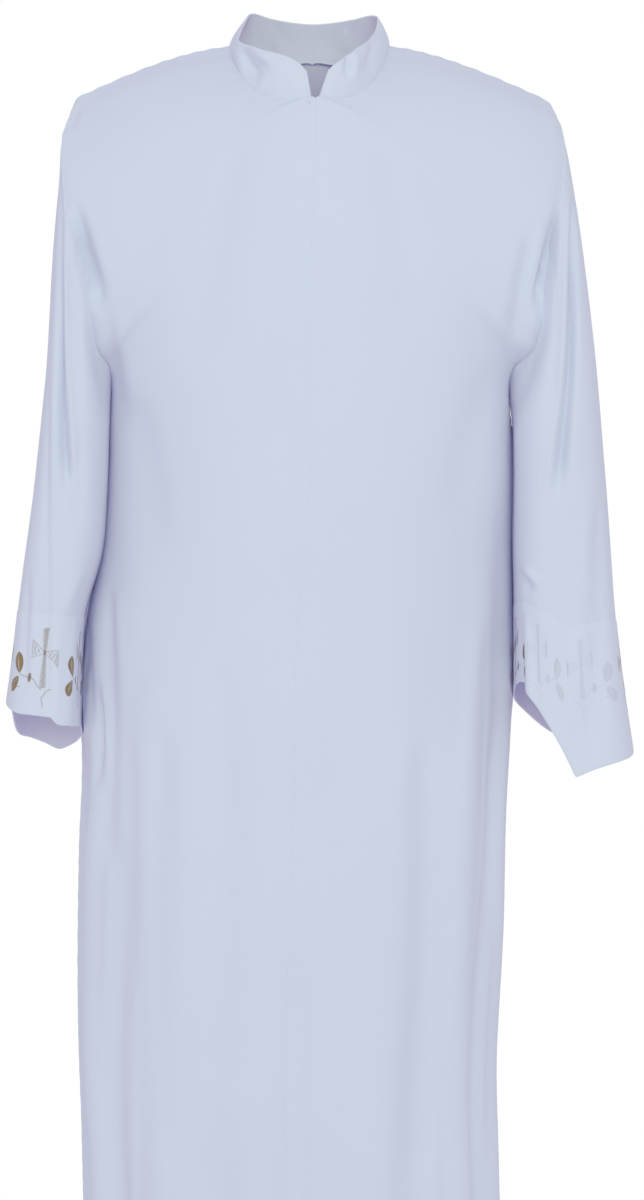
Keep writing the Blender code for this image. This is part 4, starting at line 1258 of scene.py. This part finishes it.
SHORTEST_STITCH = 0.0003
EMBROIDERY_TWIST = 0.0009

drawn = []


def draw(start, end, colour, width):
    drawn.append((*start, *end, colour, width))


def half_width(arm, share, flare):
    """Half the width of a cross's arm at a share of the way out along it."""
    return arm["near_half_width"] + (arm["far_half_width"] - arm["near_half_width"]) * share**flare


for row in UPRIGHT_ARMS:
    arm = named(ARM_COLUMNS, row)
    steps = int(abs(arm["length"]) / SATIN_PITCH)
    for k in range(1, steps):
        share = k / steps
        half = half_width(arm, share, UPRIGHT_FLARE) * (1 + SATIN_RAGGED * math.sin(SATIN_RAGGED_TURN * k))
        v = arm["length"] * share
        draw((-half, v - SATIN_LEAN), (half, v + SATIN_LEAN), PALE, THREAD_WIDTH[PALE])
for row in SIDE_ARMS:
    arm = named(ARM_COLUMNS, row)
    end = arm["length"]

    def edge(share, side):
        half = half_width(arm, share, SIDE_ARM_FLARE)
        return end * share, side * half + SIDE_ARM_SLOPE * end * share

    for side in (-1, 1):
        for k in range(SIDE_ARM_EDGE_STITCHES):
            ends = (edge(place / SIDE_ARM_EDGE_STITCHES, side) for place in (k, k + STITCH_OVERLAP))
            draw(*ends, GOLD, FINE)
    steps = int(abs(end) / LATTICE_PITCH)
    for k in range(1, steps + 1):
        share, ahead = k / steps, min(1.0, (k + LATTICE_LEAD) / steps)
        draw(edge(share, -1), edge(ahead, 1), GOLD, FINE)
        draw(edge(share, 1), edge(ahead, -1), GOLD, FINE)
for k in range(CENTRE_STITCHES):
    v = CENTRE_FOOT + CENTRE_PITCH * k
    draw((-CENTRE_HALF, v - CENTRE_LEAN), (CENTRE_HALF, v + CENTRE_LEAN), GOLD, THREAD_WIDTH[GOLD])
for row in LEAVES:
    leaf = named(LEAF_COLUMNS, row)
    base, tip = np.array([leaf["base_u"], leaf["base_v"]]), np.array([leaf["tip_u"], leaf["tip_v"]])
    length = float(np.linalg.norm(tip - base))
    forward = (tip - base) / length
    sideways = np.array([-forward[1], forward[0]])
    steps = int(length / LEAF_PITCH)
    for k in range(1, steps):
        share = k / steps
        middle = base + forward * length * share + sideways * leaf["curve"] * math.sin(math.pi * share)
        half = leaf["half_width"] * math.sin(math.pi * share**LEAF_WIDEST) ** LEAF_ROUNDNESS
        for side in (-1, 1):
            inner = middle - sideways * side * LEAF_OVERLAP
            outer = middle + sideways * side * (half + LEAF_EXTRA) + forward * half * LEAF_RAKE
            draw(inner, outer, GOLD, THREAD_WIDTH[GOLD])
for k in range(-BUD_STITCHES, BUD_STITCHES + 1):
    share = k / (BUD_STITCHES + 1)
    reach = BUD_HALF[0] * math.sqrt(1 - share**2)
    middle = np.array(BUD) + (0.0, BUD_HALF[1] * share)
    draw(middle - (reach, BUD_LEAN), middle + (reach, BUD_LEAN), PALE, THREAD_WIDTH[PALE])
for stem in STEMS:
    corners = [(k, *corner) for k, corner in enumerate(stem)]
    line = smooth(corners, np.linspace(0, len(stem) - 1, STEM_POINTS)).T
    walked = walk(line, 0)
    for start in np.arange(0.0, walked[-1] - STEM_LEFT_OVER * STEM_STITCH, STEM_PITCH):
        ends = (
            [np.interp(reached, walked, line[:, axis]) for axis in range(2)]
            for reached in (start, start + STEM_STITCH)
        )
        draw(*ends, STEM, THREAD_WIDTH[STEM])
drawn = np.array(drawn)

EMBROIDERY_COLUMNS = ("name", "dark", "light", "roughness")
# The dark colour of each thread is painted shade in the grooves of its twist, the light one is on its ridges
EMBROIDERY_THREADS = (
    ("gold_thread", (0.125, 0.112, 0.010, 1.0), (0.275, 0.246, 0.028, 1.0), 0.38),
    ("pale_gold_thread", (0.150, 0.158, 0.055, 1.0), (0.255, 0.265, 0.110, 1.0), 0.42),
    ("stem_thread", (0.120, 0.125, 0.055, 1.0), (0.215, 0.220, 0.110, 1.0), 0.45),
    # The last thread is a painted highlight: embroidery coloured nearly white as if blown out by strong light
    ("washed_thread", (0.600, 0.650, 0.740, 1.0), (0.690, 0.740, 0.840, 1.0), 0.5),
)
embroidery_threads = []
for row in EMBROIDERY_THREADS:
    embroidery_threads.append(thread_material(**named(EMBROIDERY_COLUMNS, row), twist=EMBROIDERY_TWIST))

for name, band in bands.items():
    ring, ring_normals = band["grid"], band["normals"]
    around = walk(ring, 1).mean(axis=0)
    down = walk(ring, 0)
    columns, rows = np.arange(len(around)), np.arange(len(down))
    motifs = round(around[-1] / MOTIF_WIDTH)
    first = np.interp(CROSS_DEGREES[name] / 360 * (len(around) - 1), columns, around)
    middles = first + np.arange(motifs) * around[-1] / motifs
    share = np.linspace(0, 1, len(STITCH_TAPER))[None, :]
    u = drawn[:, [0]] * (1 - share) + drawn[:, [2]] * share
    v = drawn[:, [1]] * (1 - share) + drawn[:, [3]] * share
    places_u = np.mod(middles[:, None, None] + u[None], around[-1])
    places_v = np.broadcast_to(CROSS_DEPTH - v[None], places_u.shape)
    column, row = np.interp(places_u, around, columns), np.zeros_like(places_u)
    for k in columns:
        here = np.rint(column) == k
        row[here] = np.interp(places_v[here], down[:, k], rows)
    # A stitch that crosses the first column is left whole on one side of it
    jump = np.ptp(column, axis=2, keepdims=True) > len(around) / 2
    column = np.where(jump, column.min(axis=2, keepdims=True), column)
    spines = on_grid(ring, row, column).reshape(-1, len(STITCH_TAPER), 3)
    thread_normals = unit(on_grid(ring_normals, row, column)).reshape(spines.shape)
    colours = np.tile(drawn[:, 4].astype(int), motifs)
    widths = np.tile(drawn[:, 5], motifs)
    # The threads on the front of the left band are painted nearly white, a painted highlight where strong
    # light washes them out
    if name == "left":
        colours = np.where(thread_normals[:, 0, 1] < -PAINTED_HIGHLIGHT_FACING, PAINTED_HIGHLIGHT, colours)
    long_enough = np.linalg.norm(spines[:, -1] - spines[:, 0], axis=1) > SHORTEST_STITCH
    thread_piece(
        f"cuff_embroidery_{name}", spines[long_enough], thread_normals[long_enough], widths[long_enough],
        embroidery_threads, colours[long_enough],
    )

# The studio: a plain pale floor under the hem, white surroundings, a broad soft light in front, a weaker
# one behind and the weakest at the left. The camera looks level at the middle of the upper 1.29 m, from
# 2.8 m.
FLOOR_Z = -1.500
FLOOR_RADIUS = 1.10
FLOOR_DEPTH = 0.02
CAMERA_PLACE = (0.0086, -2.80, -0.586)
CAMERA_LENS = 78.12
LIGHT_COLUMNS = ("name", "place", "width", "height", "power", "colour")
LIGHTS = (
    ("front_light", (0.35, -3.3, 0.5), 2.2, 2.2, 42.0, (0.83, 1.0, 0.80)),
    ("left_light", (-3.0, -1.6, 0.2), 2.0, 2.4, 6.0, (0.90, 0.95, 1.0)),
    ("back_light", (0.6, 3.4, 0.8), 2.6, 2.6, 24.0, (1.0, 1.0, 1.0)),
)
LIGHTS_LOOK_AT = (0.0, 0.0, -0.65)
SHADE_CURVES = (
    ((0.14, 0.212), (0.29, 0.400), (0.604, 0.607)),
    ((0.17, 0.212), (0.33, 0.405), (0.665, 0.668)),
    ((0.22, 0.360), (0.42, 0.535), (0.776, 0.778)),
)
FILL_COLOUR = (0.915, 0.860, 1.0, 1.0)
FILL_STRENGTH = 0.62

bpy.ops.mesh.primitive_cylinder_add(
    vertices=96, radius=FLOOR_RADIUS, depth=FLOOR_DEPTH, location=(0, 0, FLOOR_Z - FLOOR_DEPTH / 2)
)
floor = bpy.context.object
floor.name = "floor"
floor_material = bpy.data.materials.new("floor")
floor_material.use_nodes = True
floor_shader = floor_material.node_tree.nodes["Principled BSDF"]
floor_shader.inputs["Base Color"].default_value = (0.86, 0.86, 0.87, 1.0)
floor_shader.inputs["Roughness"].default_value = 0.9
floor.data.materials.append(floor_material)

world = bpy.data.worlds.new("studio")
world.use_nodes = True
bpy.context.scene.world = world
nodes, links = world.node_tree.nodes, world.node_tree.links
fill = nodes["Background"]
fill.inputs["Color"].default_value = FILL_COLOUR
fill.inputs["Strength"].default_value = FILL_STRENGTH
white = nodes.new("ShaderNodeBackground")
white.inputs["Color"].default_value = (1.0, 1.0, 1.0, 1.0)
seen = nodes.new("ShaderNodeLightPath")
mixed = nodes.new("ShaderNodeMixShader")
links.new(seen.outputs["Is Camera Ray"], mixed.inputs["Fac"])
links.new(fill.outputs["Background"], mixed.inputs[1])
links.new(white.outputs["Background"], mixed.inputs[2])
links.new(mixed.outputs["Shader"], nodes["World Output"].inputs["Surface"])

for row in LIGHTS:
    light = named(LIGHT_COLUMNS, row)
    data = bpy.data.lights.new(light["name"], "AREA")
    data.shape = "RECTANGLE"
    data.size, data.size_y = light["width"], light["height"]
    data.energy = light["power"]
    data.color = light["colour"]
    lamp = bpy.data.objects.new(light["name"], data)
    lamp.location = light["place"]
    aim = np.array(LIGHTS_LOOK_AT) - np.array(light["place"])
    tilt = math.atan2(aim[2], math.hypot(*aim[:2]))
    lamp.rotation_euler = (math.pi / 2 + tilt, 0, math.atan2(-aim[0], aim[1]))
    bpy.context.scene.collection.objects.link(lamp)

camera_data = bpy.data.cameras.new("camera")
camera_data.lens = CAMERA_LENS
camera_data.sensor_width = 36.0
camera = bpy.data.objects.new("camera", camera_data)
camera.location = CAMERA_PLACE
camera.rotation_euler = (math.pi / 2, 0, 0)
bpy.context.scene.collection.objects.link(camera)
bpy.context.scene.camera = camera
view = bpy.context.scene.view_settings
view.view_transform = "Standard"
view.use_curve_mapping = True
for channel, lifted in enumerate(SHADE_CURVES):
    points = view.curve_mapping.curves[channel].points
    for place, value in lifted:
        points.new(place, value)
view.curve_mapping.update()
